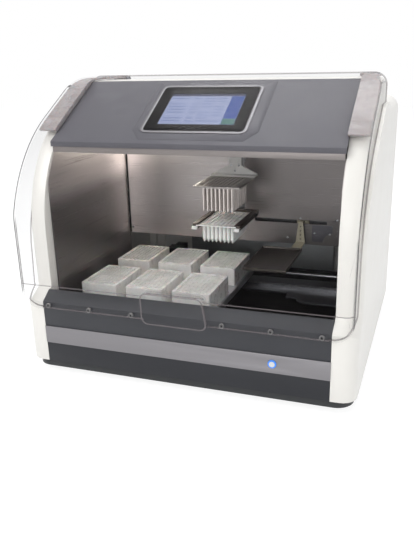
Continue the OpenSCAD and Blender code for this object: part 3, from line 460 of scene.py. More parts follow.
@dataclass
class Finishes:
    """Every finish on the machine, made once and shared by name."""

    made: dict[str, bpy.types.Material] = field(default_factory=dict)

    def get(self, finish: Finish) -> bpy.types.Material:
        """Gives the material of a finish, which is made on first use.

        Args:
            finish: one of the finishes below.

        Returns:
            Its material.
        """
        if finish.name not in self.made:
            self.made[finish.name] = finish.build()
        return self.made[finish.name]


FINISHES = Finishes()

SHELL_WHITE = Moulding("shell_white", "E3E0DA", roughness=0.36, grain=700, mottle=0.012, coat=0.15)
REAR_WHITE = Moulding("rear_white", "D5D5D1", roughness=0.5, grain=1600, depth=0.0001, mottle=0.02)
PANEL_GREY = Moulding(
    "panel_grey", "57565C", roughness=0.5, grain=2200, depth=0.00006, mottle=0.04, specular=0.3,
)
LOWER_GREY = Moulding("lower_grey", "292A2E", roughness=0.45, grain=1800, mottle=0.06, specular=0.3)
CHARCOAL = Moulding("charcoal", "36373B", roughness=0.45, grain=1800, mottle=0.06, specular=0.35)
PLINTH_BLACK = Moulding("plinth_black", "232527", roughness=0.45, grain=1800, mottle=0.08)
DECK_BLACK = Moulding("deck_black", "0D0D0E", roughness=0.5, grain=2600, mottle=0.12, specular=0.1)
RUBBER = Moulding(
    "rubber_black", "1B1B1C", roughness=0.72, grain=900, depth=0.0001, mottle=0.1, specular=0.3,
)
BUMPER = Moulding("bumper_grey", "6B6A6A", roughness=0.3, grain=900, mottle=0.1)
GLASS_BLACK = Moulding(
    "glass_black", "08090B", roughness=0.12, grain=300, depth=0.00001, mottle=0.1, specular=0.04,
)
BEZEL = Brushed("bezel_silver", "777679", Axis.X, roughness=0.38, streak=0.04)
STAINLESS = Brushed(
    "stainless", "AEA8A7", Axis.X, roughness=0.32, streak=0.008, smudge=0.12, metallic=0.8, fine=9.0,
    # painted light and shade: 15 % brighter below 0.26 m against the light that falls off low down, a
    # painted reflection of the lamp that doubles the tone at the left end, and painted shade darkening it to
    # 0.42 towards the right
    painted_fades=(
        PaintedFade(Axis.Z, 0.26, 0.36, 1.15, 1.0),
        PaintedFade(Axis.X, -0.285, -0.19, 2.0, 1.0),
        PaintedFade(Axis.X, -0.05, 0.16, 1.0, 0.42),
    ),
)
# the side walls are the back wall's steel in a lighter tone, as painted light; their ramps paint shade
# darkening them to a third below 0.33 m and light brightening them towards the rear corner
SIDE_SHEET = Brushed(
    "stainless_side", "C4BCBA", Axis.Y, roughness=0.32, streak=0.008, smudge=0.12, metallic=0.8, fine=9.0,
    painted_fades=(PaintedFade(Axis.Z, 0.33, 0.39, 0.32, 1.0), PaintedFade(Axis.Y, -0.02, 0.09, 1.0, 1.8)),
)
# real folded steel, toned darker than the ceiling as painted shadow under the slope panel's edge
SHADED_LIP_STEEL = Brushed("shaded_lip_steel", "8A8482", Axis.X, roughness=0.4, streak=0.03, metallic=0.8)
STRIP = Brushed("strip_silver", "8B898C", Axis.X, roughness=0.4, streak=0.04, smudge=0.03)
STEEL = Brushed("ground_steel", "B9BABD", Axis.Y, roughness=0.25, streak=0.05)
ANODISED = Brushed("dark_anodised", "66666B", Axis.X, roughness=0.38, streak=0.05, metallic=0.8)
ALUMINIUM = Brushed("clear_anodised", "C9CACD", Axis.X, roughness=0.4, streak=0.03, metallic=0.85)
HOLDER_BROWN = Brushed("holder_brown", "4C4541", Axis.Y, roughness=0.42, streak=0.06, metallic=0.7)
ROD_PLATE = Brushed("rod_plate_grey", "96918E", Axis.X, roughness=0.45, streak=0.05, metallic=0.7)
NICKEL = Brushed("nickel", "D3CBC7", Axis.Z, roughness=0.28, streak=0.04, metallic=0.85)
ZINC = Brushed("zinc", "A5A8AA", Axis.Z, roughness=0.5, streak=0.08, smudge=0.2, metallic=0.9)
BRACKET_WHITE = Moulding("bracket_white", "E3E2DF", roughness=0.42, grain=1500, mottle=0.03)
BRACKET_PALE = Moulding("bracket_pale", "BDB69F", roughness=0.38, grain=1500, mottle=0.08)
DRIP_BLACK = Brushed("drip_dark", "4A4540", Axis.Y, roughness=0.36, streak=0.05, metallic=0.6)
MOTOR_BLACK = Moulding("motor_black", "1A1A1C", roughness=0.5, grain=1400, mottle=0.1)
PLASTIC_BLACK = Moulding("plastic_black", "1D1D1F", roughness=0.5, grain=1400, mottle=0.08)
SWITCH_BLACK = Moulding("switch_black", "151517", roughness=0.22, grain=400, mottle=0.06)
WELLS = Frosted("well_polypropylene", "F2F0ED", roughness=0.3, weight=0.15)
COMB = Frosted("comb_polypropylene", "F0EEEA", roughness=0.26, weight=0.1)
PAD = Frosted("pad_frosted", "A69E9E", roughness=0.3, weight=0.15, alpha=0.86, ribs=14.0)
HOOD_CLEAR = Clear("hood_clear", "575152", facing=0.01, grazing=0.13)
# painted shade and light on the clear sheet: the corner finish darkens the round corners where they are seen
# edge-on, the side finish paints a dark band down each outer side, and the edge finish gives the fold and
# the real cut and rolled rims a mid grey that stands for both their shade against white and the light they
# catch against dark panels
HOOD_CORNER_SHADE = Clear("hood_corner_shade", "3A3436", facing=0.02, grazing=0.95, rim=0.22, full=0.55)
HOOD_EDGE = Clear("hood_edge", "6C6466", facing=0.6, grazing=0.9, roughness=0.12)
HOOD_SIDE_SHADE = Clear("hood_side_shade", "2A2628", facing=0.8, grazing=0.95, roughness=0.12)
LAMP = Lit("lamp_white", "FFF8EA", strength=24.0)
RING_BLUE = Lit("ring_blue", "4F8FF0", strength=1.1)
BUTTON = Brushed("button_steel", "D3D6DA", Axis.X, roughness=0.3, streak=0.03)
SCREEN_SKY = Lit("screen_sky", "8F9ECF", strength=0.52, gloss=0.25)
SCREEN_HEAD = Lit("screen_head", "4A4F6C", strength=0.52, gloss=0.25)
SCREEN_BLUE = Lit("screen_blue", "4763B4", strength=0.52, gloss=0.25)
SCREEN_PALE = Lit("screen_pale", "B4C0E8", strength=0.52, gloss=0.25)
SCREEN_GREEN = Lit("screen_green", "5F8F8A", strength=0.52, gloss=0.25)
SCREEN_TEXT = Lit("screen_text", "93A0D0", strength=0.52, gloss=0.25)

DRESS: dict[str, Finish] = {
    "base_pan": PLINTH_BLACK, "feet": RUBBER, "left_housing": SHELL_WHITE, "right_housing": SHELL_WHITE,
    "top_cover": SHELL_WHITE, "rear_panel": REAR_WHITE, "slope_panel": PANEL_GREY, "screen_bezel": BEZEL,
    "screen_glass": GLASS_BLACK, "display_module": SCREEN_SKY, "sill_panel": CHARCOAL, "trim_strip": STRIP,
    "lower_panel": LOWER_GREY, "power_button": BUTTON, "button_ring": RING_BLUE, "hood_bumpers": BUMPER,
    "left_wall": SIDE_SHEET, "right_wall": SIDE_SHEET, "back_wall": STAINLESS, "ceiling_panel": STAINLESS,
    "chamber_lamp": LAMP, "slot_cover": ANODISED, "deck": DECK_BLACK, "y_rails": STEEL, "y_screw": STEEL,
    "y_motor": MOTOR_BLACK, "y_carriage": ANODISED,
    "x_rails": STEEL, "x_screw": STEEL, "x_motor": MOTOR_BLACK,
    "plate_tray": ALUMINIUM, "lift_mast": ALUMINIUM, "lift_motor": MOTOR_BLACK, "lift_screw": STEEL,
    "comb_carriage": ALUMINIUM, "comb_holder": HOLDER_BROWN, "tip_comb": COMB, "rod_motor": MOTOR_BLACK,
    "rod_screw": STEEL, "rod_carriage": BRACKET_WHITE, "rod_plate": ROD_PLATE, "magnet_rods": NICKEL,
    "drip_tray": DRIP_BLACK, "drip_carriage": BRACKET_PALE, "drip_rail": STEEL, "hood": HOOD_CLEAR,
    "hood_arms": PAD, "hinge_blocks": ANODISED, "hinge_pins": STEEL, "fan_frame": PLASTIC_BLACK,
    "fan_rotor": PLASTIC_BLACK, "mains_inlet": PLASTIC_BLACK, "mains_switch": SWITCH_BLACK,
    "control_unit": ZINC,
    **{f"deep_well_plate_{i}": WELLS for i in range(1, 7)},
}


def dress_nodes() -> None:
    """Gives every CAD node its finish."""
    for name, finish in DRESS.items():
        node = frame["nodes"][name]
        node.data.materials.clear()
        node.data.materials.append(FINISHES.get(finish))


BODIES: dict[str, list[str]] = frame["record"]["behaviour"]["bodies"]
BODY_OF: dict[str, str] = {node: body for body, nodes in BODIES.items() for node in nodes}


def place_mesh(
    name: str, mesh: bmesh.types.BMesh, finishes: Sequence[Finish], node: str, flat: float = 30.0
) -> bpy.types.Object:
    """Makes an object of a mesh, with its finishes, riding on the body of a CAD node.

    Args:
        name: name of the new piece.
        mesh: its mesh in metres in the frame; it is freed.
        finishes: one finish per material index.
        node: the CAD node whose body it rides on.
        flat: edges sharper than this many degrees stay sharp.

    Returns:
        The new object.
    """
    bmesh.ops.recalc_face_normals(mesh, faces=mesh.faces)
    for face in mesh.faces:
        face.smooth = True
    for edge in mesh.edges:
        edge.smooth = len(edge.link_faces) == 2 and edge.calc_face_angle(0.0) < math.radians(flat)
    data = bpy.data.meshes.new(name)
    mesh.to_mesh(data)
    mesh.free()
    for finish in finishes:
        data.materials.append(FINISHES.get(finish))
    piece = bpy.data.objects.new(name, data)
    bpy.context.scene.collection.objects.link(piece)
    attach(piece, BODY_OF[node])
    return piece


def bend(edge: bmesh.types.BMEdge) -> float:
    """Angle between the two faces of an edge, and zero where it doesn't have two."""
    return edge.calc_face_angle(0.0) if len(edge.link_faces) == 2 else 0.0


@dataclass
class Recast:
    """A CAD node drawn again with its edges rolled, as pressed and moulded parts have them.

    The roll is in millimetres, and edges that bend by more than the sharp angle are rolled.
    """

    node: str
    finish: Finish
    roll: float = 0.6
    segments: int = 2
    sharp: float = 30.0
    rolled_index: int = -1

    def build(self) -> list[bpy.types.Object]:
        """Copies, merges and rolls the node, and stands the copy in for it.

        Returns:
            The one new piece.
        """
        node = frame["nodes"][self.node]
        mesh = bmesh.new()
        mesh.from_mesh(node.data)
        bmesh.ops.remove_doubles(mesh, verts=mesh.verts, dist=WELD)
        bmesh.ops.dissolve_limit(mesh, angle_limit=COPLANAR, verts=mesh.verts, edges=mesh.edges)
        bmesh.ops.recalc_face_normals(mesh, faces=mesh.faces)
        self.mark_faces(mesh)
        bmesh.ops.bevel(
            mesh, geom=[edge for edge in mesh.edges if self.is_rolled(edge)], offset=self.roll * MM,
            segments=self.segments, profile=0.5, affect="EDGES", clamp_overlap=True,
            material=self.rolled_index,
        )
        bmesh.ops.triangulate(mesh, faces=[face for face in mesh.faces if len(face.verts) > 4])
        piece = place_mesh(f"{self.node}_skin", mesh, self.finishes(), self.node)
        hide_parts(self.node)
        return [piece]

    def finishes(self) -> list[Finish]:
        """The finishes in the order of their material indices."""
        return [self.finish]

    def mark_faces(self, mesh: bmesh.types.BMesh) -> None:
        """Sorts the faces among the finishes, of which a plain part has only one."""

    def is_rolled(self, edge: bmesh.types.BMEdge) -> bool:
        """Whether an edge is sharp enough to be rolled."""
        return bend(edge) > math.radians(self.sharp)


class HoodFace(IntEnum):
    """Kinds of face on the hood, as the material indices of their finishes."""

    SHEET = 0
    RIM = 1
    CORNER = 2
    SIDE = 3


@dataclass
class Hood(Recast):
    """The clear hood, whose round corners, outer sides and fold are painted darker than its sheet as shade,
    and whose real cut rims are grey, partly as painted light and shade.

    Lengths are in millimetres, bends in degrees, and the across and ahead fields are shares of a
    face's normal: how far it points out to a side, and how far to the front.
    """

    node: str = "hood"
    finish: Finish = HOOD_CLEAR
    roll: float = 1.0
    sharp: float = 24.0
    rolled_index: int = HoodFace.RIM
    rim: Finish = HOOD_EDGE
    corner: Finish = HOOD_CORNER_SHADE
    side: Finish = HOOD_SIDE_SHADE
    # a round corner, between the front of the sheet and its sides, painted dark as shade where it is seen
    # edge-on
    corner_from: float = 314.0
    corner_across: tuple[float, float] = (0.12, 0.99)
    corner_ahead: float = 0.1
    # the band down each outer side, which faces ahead or up and not straight out, painted dark as shade
    side_from: float = 331.8
    side_foot: float = 160.0
    side_across: float = 0.975
    side_ahead: float = 0.1
    # the band along the fold, on the front of the sheet, painted grey as the shade and light along the fold
    fold: float = 206.0
    fold_below: float = 1.3
    fold_above: float = 0.7
    fold_ahead: float = 0.5
    fold_reach: float = 1.5
    fold_bend: float = 4.0
    # a rim is as narrow as the sheet is thick, with sharp edges for most of its way round
    rim_width: float = 3.4
    rim_bend: float = 60.0
    rim_share: float = 0.6

    def finishes(self) -> list[Finish]:
        """The finishes in the order of the kinds of face."""
        return [self.finish, self.rim, self.corner, self.side]

    def mark_faces(self, mesh: bmesh.types.BMesh) -> None:
        """Finds each kind of face on the merged mesh.

        Args:
            mesh: the hood's mesh, in which the bands of the sides and the fold are cut.
        """
        least, most = self.corner_across
        for face in mesh.faces:
            outside = abs(face.calc_center_median().x) > self.corner_from * MM
            if self.is_rim(face):
                face.material_index = HoodFace.RIM
            elif outside and least < abs(face.normal.x) < most and abs(face.normal.y) > self.corner_ahead:
                face.material_index = HoodFace.CORNER
        self.mark_bands(mesh)

    def is_rim(self, face: bmesh.types.BMFace) -> bool:
        """Whether a face is a narrow one with sharp edges nearly all round, as where sheet is cut.

        Args:
            face: a face of the merged mesh.

        Returns:
            True for a rim.
        """
        around = face.calc_perimeter()
        sharp = sum(edge.calc_length() for edge in face.edges if bend(edge) > math.radians(self.rim_bend))
        return face.calc_area() / around < self.rim_width * MM / 2 and sharp > self.rim_share * around

    def mark_bands(self, mesh: bmesh.types.BMesh) -> None:
        """Cuts narrow bands down both outer sides and along the fold, and marks them for painted shade.

        Args:
            mesh: the hood's mesh.
        """
        side = self.side_from * MM
        low, high = (self.fold - self.fold_below) * MM, (self.fold + self.fold_above) * MM
        out, up = Vector((1, 0, 0)), Vector((0, 0, 1))
        for place, across in ((-side * out, out), (side * out, out), (low * up, up), (high * up, up)):
            bmesh.ops.bisect_plane(
                mesh, geom=[*mesh.verts, *mesh.edges, *mesh.faces], dist=SEAM,
                plane_co=place, plane_no=across,
            )
        for face in mesh.faces:
            middle, normal = face.calc_center_median(), face.normal
            outside = abs(middle.x) > side and middle.z > self.side_foot * MM
            if outside and abs(normal.x) < self.side_across and normal.z - normal.y > self.side_ahead:
                face.material_index = HoodFace.SIDE
            elif low < middle.z < high and normal.y < -self.fold_ahead:
                face.material_index = HoodFace.RIM

    def is_rolled(self, edge: bmesh.types.BMEdge) -> bool:
        """Whether an edge is sharp, or lies along the shallow fold.

        Args:
            edge: an edge of the marked mesh.

        Returns:
            True for an edge to roll.
        """
        along = all(abs(vert.co.z - self.fold * MM) < self.fold_reach * MM for vert in edge.verts)
        return super().is_rolled(edge) or (along and bend(edge) > math.radians(self.fold_bend))


def spin_outline(
    mesh: bmesh.types.BMesh, outline: Sequence[tuple[float, float]], steps: int
) -> list[bmesh.types.BMVert]:
    """Spins an outline about the upright axis at the origin and merges its seam and its pole.

    Args:
        mesh: the mesh that the shape joins.
        outline: radius and height of each corner, in millimetres.
        steps: flats round the shape.

    Returns:
        The shape's vertices.
    """
    before = set(mesh.verts)
    verts = [mesh.verts.new((radius * MM, 0.0, height * MM)) for radius, height in outline]
    edges = [mesh.edges.new(pair) for pair in zip(verts, verts[1:])]
    bmesh.ops.spin(
        mesh, geom=verts + edges, cent=(0, 0, 0), axis=(0, 0, 1),
        angle=math.tau, steps=steps, use_merge=True,
    )
    bmesh.ops.remove_doubles(mesh, verts=[vert for vert in mesh.verts if vert not in before], dist=SEAM)
    return [vert for vert in mesh.verts if vert not in before]


def standing_on(place: Vector, direction: Sequence[float]) -> Matrix:
    """Matrix that stands an upright shape on a place, pointing in a direction."""
    return Matrix.Translation(place) @ Vector(direction).to_track_quat("Z", "Y").to_matrix().to_4x4()


@dataclass
class Screw:
    """Button-head screw with a socket in its crown, standing on a face, with its sizes in millimetres."""

    x: float
    y: float
    z: float
    direction: tuple[float, float, float] = (0, -1, 0)
    radius: float = 3.0
    height: float = 1.6
    sides: int = 12

    def add_to(self, mesh: bmesh.types.BMesh) -> None:
        """Spins the head about its axis and leaves a socket in it.

        Args:
            mesh: the mesh that the head joins.
        """
        # shares of the radius and height, from the foot up over the crown and down into the socket
        shape = (
            (1.0, 0.0), (1.0, 0.35), (0.8, 0.85), (0.52, 1.0), (0.42, 1.0), (0.42, 0.35), (0.0, 0.25),
        )
        outline = [(self.radius * across, self.height * up) for across, up in shape]
        head = spin_outline(mesh, outline, self.sides)
        turn = standing_on(point(self.x, self.y, self.z), self.direction)
        bmesh.ops.transform(mesh, matrix=turn, verts=head)


@dataclass
class ScrewSet:
    """The screws that hold one panel or bracket."""

    name: str
    node: str
    finish: Finish
    screws: list[Screw] = field(default_factory=list)

    def build(self) -> list[bpy.types.Object]:
        """Makes all the heads as one piece.

        Returns:
            The one new piece.
        """
        mesh = bmesh.new()
        for screw in self.screws:
            screw.add_to(mesh)
        return [place_mesh(self.name, mesh, [self.finish], self.node)]


def rolled_block(mesh: bmesh.types.BMesh, low: Sequence[float], high: Sequence[float], roll: float) -> None:
    """Adds a block between two corners with its edges rolled.

    Args:
        mesh: the mesh that it joins.
        low: lowest corner in millimetres, measured from the front strip.
        high: highest corner.
        roll: radius of its edges in millimetres.
    """
    corner, far = point(*low), point(*high)
    block = bmesh.ops.create_cube(mesh, size=1.0)["verts"]
    shape = Matrix.Translation((corner + far) / 2) @ Matrix.Diagonal((*(far - corner), 1.0))
    bmesh.ops.transform(mesh, matrix=shape, verts=block)
    edges = list({edge for vert in block for edge in vert.link_edges})
    bmesh.ops.bevel(
        mesh, geom=edges, offset=roll * MM, segments=2, profile=0.5,
        affect="EDGES", clamp_overlap=True, material=-1,
    )


class PageTone(IntEnum):
    """Kinds of field on the screen's page, as the material indices of their finishes."""

    HEADER = 0
    PAGE = 1
    KEY = 2
    ENTRY = 3
    START_KEY = 4


@dataclass
class ScreenPage:
    """The lit page of the touch screen: a header, rows of entries and a column of keys, without lettering.

    The page's size and place and the lifts of its fields are in millimetres, and the layout is in
    shares of the page's width and height.
    """

    width: float = 155.0
    height: float = 103.0
    start: float = 54.0
    level: float = 6.52
    slope_y: float = 86.0
    slope_z: float = 474.0
    page_lift: float = 0.06
    entry_lift: float = 0.10
    key_lift: float = 0.12
    list_width: float = 0.82
    header_from: float = 0.92
    keys: int = 5
    key_sides: tuple[float, float] = (0.83, 0.995)
    key_pitch: float = 0.182
    key_gap: float = 0.012
    rows: int = 9
    first_row: float = 0.83
    row_pitch: float = 0.092
    row_height: float = 0.03
    columns: tuple[tuple[float, float], ...] = ((0.03, 0.27), (0.33, 0.43), (0.47, 0.62), (0.66, 0.78))

    def add_field(
        self, mesh: bmesh.types.BMesh, u: tuple[float, float], v: tuple[float, float],
        tone: PageTone, lift: float,
    ) -> None:
        """Adds a thin field over shares of the page's width and height.

        Args:
            mesh: the mesh that it joins.
            u: where it starts and ends across the page.
            v: where it starts and ends up the page.
            tone: its kind.
            lift: its thickness in millimetres.
        """
        low = ((u[0] - 0.5) * self.width, self.start + v[0] * self.height, self.level)
        high = ((u[1] - 0.5) * self.width, self.start + v[1] * self.height, self.level + lift)
        middle = [(a + b) / 2 * MM for a, b in zip(low, high)]
        size = [(b - a) * MM for a, b in zip(low, high)]
        made = bmesh.ops.create_cube(mesh, size=1.0)["verts"]
        for face in {face for vert in made for face in vert.link_faces}:
            face.material_index = tone
        slope = Matrix.Translation(point(0, self.slope_y, self.slope_z)) @ Matrix.Rotation(SLOPE, 4, "X")
        shape = Matrix.Translation(middle) @ Matrix.Diagonal((*size, 1.0))
        bmesh.ops.transform(mesh, matrix=slope @ shape, verts=made)

    def build(self) -> list[bpy.types.Object]:
        """Lays the page out.

        Returns:
            The one new piece.
        """
        mesh = bmesh.new()
        self.add_field(mesh, (0.0, self.list_width), (0.0, self.header_from), PageTone.PAGE, self.page_lift)
        self.add_field(mesh, (0.0, 1.0), (self.header_from, 1.0), PageTone.HEADER, self.entry_lift)
        for i in range(self.keys):
            span = (self.key_gap + i * self.key_pitch, self.key_pitch + i * self.key_pitch)
            tone = PageTone.KEY if i else PageTone.START_KEY
            self.add_field(mesh, self.key_sides, span, tone, self.key_lift)
        for i in range(self.rows):
            v = self.first_row - i * self.row_pitch
            for u in self.columns:
                # some entries are left empty
                if (i * 7 + int(u[0] * 100)) % 5:
                    self.add_field(mesh, u, (v, v + self.row_height), PageTone.ENTRY, self.entry_lift)
        finishes = [SCREEN_HEAD, SCREEN_PALE, SCREEN_BLUE, SCREEN_TEXT, SCREEN_GREEN]
        return [place_mesh("screen_page", mesh, finishes, "display_module")]


@dataclass
class Grommets:
    """Rubber rings on the hood's bumpers, each with a screw hole floored by a black disc as painted shade,
    with their sizes in millimetres.
    """

    hood_width: float = 668.0
    margin: float = 56.5
    # steps from the middle, where the pull takes the place of a bumper
    places: tuple[int, ...] = (-3, -2, -1, 1, 2, 3)
    height: float = 157.0
    front: float = -7.55
    hole: float = 2.3
    steps: int = 20
    # radius and height of the ring's corners
    outline: tuple[tuple[float, float], ...] = (
        (2.2, -0.1), (2.2, 0.7), (3.0, 1.2), (4.4, 1.2), (5.0, 0.6), (5.0, -0.1),
    )

    def build(self) -> list[bpy.types.Object]:
        """Spins a ring at each bumper and closes its hole with a black disc, painted shade for the hole.

        Returns:
            The one new piece.
        """
        mesh = bmesh.new()
        pitch = (self.hood_width - 2 * self.margin) / (self.places[-1] - self.places[0])
        for place in self.places:
            ring = spin_outline(mesh, self.outline, self.steps)
            disc = bmesh.ops.create_circle(
                mesh, cap_ends=True, radius=self.hole * MM, segments=self.steps,
            )["verts"]
            for face in {face for vert in disc for face in vert.link_faces}:
                # the disc is black as painted shade in the hole
                face.material_index = 1
            turn = standing_on(point(place * pitch, self.front, self.height), (0, -1, 0))
            bmesh.ops.transform(mesh, matrix=turn, verts=ring + disc)
        return [place_mesh("bumper_rings", mesh, [BUMPER, RUBBER], "hood_bumpers")]


@dataclass
class CombFittings:
    """White end blocks on the comb holder's rails and the knob that locks the comb, in millimetres."""

    middle: float = LIFT_X
    half: float = 46.5
    block_half: float = 5.8
    block_front: float = 190.7
    block_rear: float = 197.3
    block_low: float = 280.8
    block_high: float = 287.4
    block_roll: float = 0.9
    knob_reach: float = 5.4
    knob_y: float = 318.0
    knob_z: float = 287.0
    knob_radius: float = 4.2
    knob_height: float = 5.0

    def build(self) -> list[bpy.types.Object]:
        """Makes the blocks and the knob.

        Returns:
            The blocks as one piece, and the knob.
        """
        mesh = bmesh.new()
        for side in (-1, 1):
            x = self.middle + side * self.half
            low = (x - self.block_half, self.block_front, self.block_low)
            high = (x + self.block_half, self.block_rear, self.block_high)
            rolled_block(mesh, low, high, self.block_roll)
        blocks = place_mesh("comb_end_blocks", mesh, [BRACKET_WHITE], "comb_holder")
        knob = Screw(
            self.middle + self.half + self.knob_reach, self.knob_y, self.knob_z,
            direction=(1, 0, 0), radius=self.knob_radius, height=self.knob_height, sides=24,
        )
        return [blocks, *ScrewSet("comb_knob", "comb_holder", MOTOR_BLACK, [knob]).build()]


@dataclass
class ChamberTrim:
    """Folded front lip of the ceiling sheet, in a darker steel that partly paints the thin shadow under the
    slope panel, and the dark seal in each rear corner, in millimetres.
    """

    half: float = 292.0
    lip_y: tuple[float, float] = (89.4, 90.8)
    lip_z: tuple[float, float] = (452.4, 466.0)
    lip_roll: float = 0.4
    seal_width: float = 4.2
    seal_y: tuple[float, float] = (407.4, 409.9)
    seal_z: tuple[float, float] = (200.5, 451.5)
    seal_roll: float = 0.8

    def build(self) -> list[bpy.types.Object]:
        """Makes the lip and the seals.

        Returns:
            The lip, and the two seals as one piece.
        """
        lip = bmesh.new()
        lip_low, lip_high = zip(self.lip_y, self.lip_z)
        rolled_block(lip, (-self.half, *lip_low), (self.half, *lip_high), self.lip_roll)
        seals = bmesh.new()
        seal_low, seal_high = zip(self.seal_y, self.seal_z)
        for side in (-1, 1):
            inner, outer = sorted((side * (self.half - self.seal_width), side * self.half))
            rolled_block(seals, (inner, *seal_low), (outer, *seal_high), self.seal_roll)
        return [
            place_mesh("ceiling_lip", lip, [SHADED_LIP_STEEL], "ceiling_panel"),
            place_mesh("corner_seals", seals, [RUBBER], "back_wall"),
        ]


SCREWS: tuple[ScrewSet, ...] = (
    ScrewSet("head_screws", "rod_carriage", STEEL, [
        Screw(LIFT_X + x, 336, z, radius=2.6) for x, z in ((-9, 394), (9, 394), (0, 382))
    ]),
    ScrewSet("slot_screws", "slot_cover", STEEL, [Screw(x, 408.5, 228, radius=2.6) for x in (184, 220)]),
    ScrewSet("wall_bolts", "back_wall", STEEL, [
        Screw(x, 410, z, radius=2.8)
        for x, z in ((-284, 440), (-284, 214), (284, 440), (284, 214), (120, 214), (150, 262), (236, 262))
    ]),
    ScrewSet("ceiling_bolts", "ceiling_panel", STEEL, [
        Screw(x, y, 452, (0, 0, -1), 2.8) for x in (-250, 250) for y in (130, 340)
    ]),
    ScrewSet("deck_bolts", "deck", STEEL, [Screw(x, 52, 73, (0, 0, 1), 3.2) for x in (-150, 0, 150, 270)]),
)

ROLLED: tuple[Recast, ...] = (
    Hood(),
    Recast("left_housing", SHELL_WHITE, 1.6, 3),
    Recast("right_housing", SHELL_WHITE, 1.6, 3),
    Recast("top_cover", SHELL_WHITE, 1.2),
    Recast("slope_panel", PANEL_GREY, 0.8),
    Recast("screen_bezel", BEZEL, 0.5),
    Recast("screen_glass", GLASS_BLACK, 0.3),
    Recast("sill_panel", CHARCOAL, 0.8),
    Recast("trim_strip", STRIP, 0.4),
    Recast("lower_panel", LOWER_GREY, 0.6),
    Recast("base_pan", PLINTH_BLACK, 0.8),
    Recast("rear_panel", REAR_WHITE, 0.8),
    Recast("plate_tray", ALUMINIUM, 0.4),
    Recast("y_carriage", ANODISED, 0.5),
    Recast("comb_holder", HOLDER_BROWN, 0.4),
    Recast("comb_carriage", ALUMINIUM, 0.5),
    Recast("rod_plate", ROD_PLATE, 0.4),
    Recast("rod_carriage", BRACKET_WHITE, 0.5),
    Recast("lift_mast", ALUMINIUM, 0.6),
    Recast("drip_tray", DRIP_BLACK, 0.4),
    Recast("drip_carriage", BRACKET_PALE, 0.5),
    Recast("hood_arms", PAD, 2.0, 3),
    Recast("hinge_blocks", ANODISED, 0.5),
    Recast("fan_frame", PLASTIC_BLACK, 0.4),
    Recast("mains_inlet", PLASTIC_BLACK, 0.4),
    Recast("mains_switch", SWITCH_BLACK, 0.3),
    Recast("feet", RUBBER, 0.6),
    Recast("control_unit", ZINC, 0.6),
)


def white_rays(nodes: bpy.types.Nodes, links: bpy.types.NodeLinks) -> Socket:
    """Finds the rays that see the surroundings as white, and not the rays that light the machine.

    Args:
        nodes: nodes of a material or of the world.
        links: links of the same tree.

    Returns:
        A socket that is one for camera, glossy and transmission rays.
    """
    path = nodes.new("ShaderNodeLightPath")
    seen = path.outputs["Is Camera Ray"]
    for kind in ("Is Glossy Ray", "Is Transmission Ray"):
        either = nodes.new("ShaderNodeMath")
        either.operation = "MAXIMUM"
        links.new(seen, either.inputs[0])
        links.new(path.outputs[kind], either.inputs[1])
        seen = either.outputs[0]
    return seen


@dataclass(frozen=True)
class Lamp:
    """Square soft lamp that hangs at a place and points at a target, in metres and watts."""

    name: str
    place: tuple[float, float, float]
    size: float
    power: float
    target: tuple[float, float, float] = (0.0, 0.0, 0.3)

    def hang(self) -> None:
        """Adds the lamp to the scene."""
        data = bpy.data.lights.new(self.name, "AREA")
        data.size = self.size
        data.energy = self.power
        lamp = bpy.data.objects.new(self.name, data)
        lamp.location = self.place
        lamp.rotation_euler = (Vector(self.target) - Vector(self.place)).to_track_quat("-Z", "Y").to_euler()
        bpy.context.scene.collection.objects.link(lamp)


LAMPS: tuple[Lamp, ...] = (
    Lamp("key", (-1.6, -2.0, 2.2), 1.8, 42),
    Lamp("fill", (2.4, -1.6, 1.4), 1.8, 19),
    Lamp("front", (0.35, -2.4, 0.75), 1.0, 9, (0.0, 0.0, 0.32)),
    Lamp("top", (0.0, 0.4, 2.6), 2.0, 40),
)


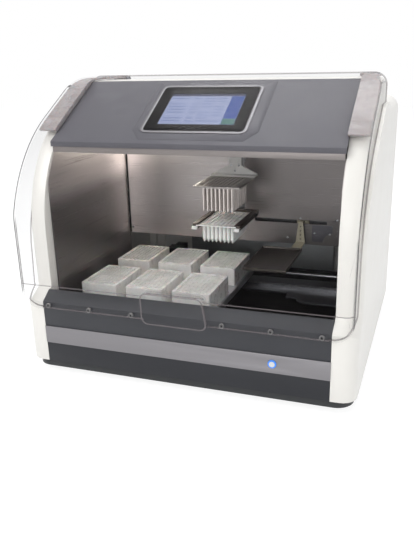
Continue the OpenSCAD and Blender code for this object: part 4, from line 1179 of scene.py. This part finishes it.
@dataclass
class Studio:
    """Floor, surroundings, lamps and camera.

    The camera's eye is in millimetres, measured from the front strip, and its angles are in radians.
    """

    lens: float = 56.41
    sensor: float = 36.0
    eye: tuple[float, float, float] = (447.8, -1046.1, 638.3)
    yaw: float = -0.351
    pitch: float = -0.3261
    roll: float = -0.0275
    nearest: float = 0.05
    farthest: float = 40.0
    floor_half: float = 6.0
    floor_glow: float = 1.22
    floor_share: float = 0.72
    fill_tone: Colour = (0.93, 0.96, 1.0)
    fill_strength: float = 0.5

    def floor_white(self) -> bpy.types.Material:
        """Makes the floor's material, which the camera sees as white and which keeps the shadow.

        Returns:
            The material, with all its nodes joined.
        """
        tree = Tree("floor_white")
        body = tree.add("BsdfPrincipled", Roughness=0.9)
        tree.join(tree.blend(tree.noise(3.0), (0.80,) * 3, (0.84,) * 3), body.inputs["Base Color"])
        light = tree.add("Emission", Color=(1, 1, 1, 1), Strength=self.floor_glow)
        share = tree.add("Math", operation="MULTIPLY")
        tree.join(white_rays(tree.nodes, tree.links), share.inputs[0])
        share.inputs[1].default_value = self.floor_share
        mix = tree.add("MixShader")
        tree.join(share.outputs[0], mix.inputs[0])
        tree.join(body.outputs[0], mix.inputs[1])
        tree.join(light.outputs[0], mix.inputs[2])
        return tree.finish(mix)

    def set_floor(self) -> None:
        """Lays the floor under the feet."""
        mesh = bmesh.new()
        bmesh.ops.create_grid(mesh, x_segments=1, y_segments=1, size=self.floor_half)
        data = bpy.data.meshes.new("floor")
        mesh.to_mesh(data)
        mesh.free()
        floor = bpy.data.objects.new("floor", data)
        bpy.context.scene.collection.objects.link(floor)
        data.materials.append(self.floor_white())

    def set_world(self) -> None:
        """Sets surroundings that are white to the camera and in reflections, and softer as a light."""
        world = bpy.data.worlds.new("studio")
        bpy.context.scene.world = world
        world.use_nodes = True
        nodes, links = world.node_tree.nodes, world.node_tree.links
        nodes.clear()
        fill = nodes.new("ShaderNodeBackground")
        fill.inputs["Color"].default_value = (*self.fill_tone, 1.0)
        fill.inputs["Strength"].default_value = self.fill_strength
        white = nodes.new("ShaderNodeBackground")
        white.inputs["Color"].default_value = (1.0, 1.0, 1.0, 1.0)
        mix = nodes.new("ShaderNodeMixShader")
        links.new(white_rays(nodes, links), mix.inputs[0])
        links.new(fill.outputs[0], mix.inputs[1])
        links.new(white.outputs[0], mix.inputs[2])
        links.new(mix.outputs[0], nodes.new("ShaderNodeOutputWorld").inputs["Surface"])

    def set_camera(self) -> None:
        """Puts the camera at its place and angle."""
        data = bpy.data.cameras.new("camera")
        data.sensor_fit = "HORIZONTAL"
        data.sensor_width = self.sensor
        data.lens = self.lens
        data.clip_start = self.nearest
        data.clip_end = self.farthest
        camera = bpy.data.objects.new("camera", data)
        reach = math.cos(self.pitch)
        look = Vector((math.sin(self.yaw) * reach, math.cos(self.yaw) * reach, math.sin(self.pitch)))
        right = Vector((math.cos(self.yaw), -math.sin(self.yaw), 0.0))
        up = right.cross(look)
        side = math.cos(self.roll) * right + math.sin(self.roll) * up
        top = -math.sin(self.roll) * right + math.cos(self.roll) * up
        turn = Matrix((side, top, -look)).transposed().to_4x4()
        camera.matrix_world = Matrix.Translation(point(*self.eye)) @ turn
        bpy.context.scene.collection.objects.link(camera)
        bpy.context.scene.camera = camera

    def build(self) -> None:
        """Sets up the whole studio."""
        self.set_floor()
        self.set_world()
        for lamp in LAMPS:
            lamp.hang()
        self.set_camera()
        bpy.context.scene.view_settings.view_transform = "Standard"


def main() -> None:
    """Builds the studio, dresses the frame and adds the detailed pieces."""
    logging.basicConfig(level=logging.INFO, format="%(name)s: %(message)s")
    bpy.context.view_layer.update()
    Studio().build()
    dress_nodes()
    LOG.info("dressed %d nodes", len(DRESS))
    for maker in (*ROLLED, ScreenPage(), Grommets(), CombFittings(), ChamberTrim(), *SCREWS):
        for piece in maker.build():
            LOG.info("%s: %d faces", piece.name, len(piece.data.polygons))


if __name__ == "__main__":
    main()
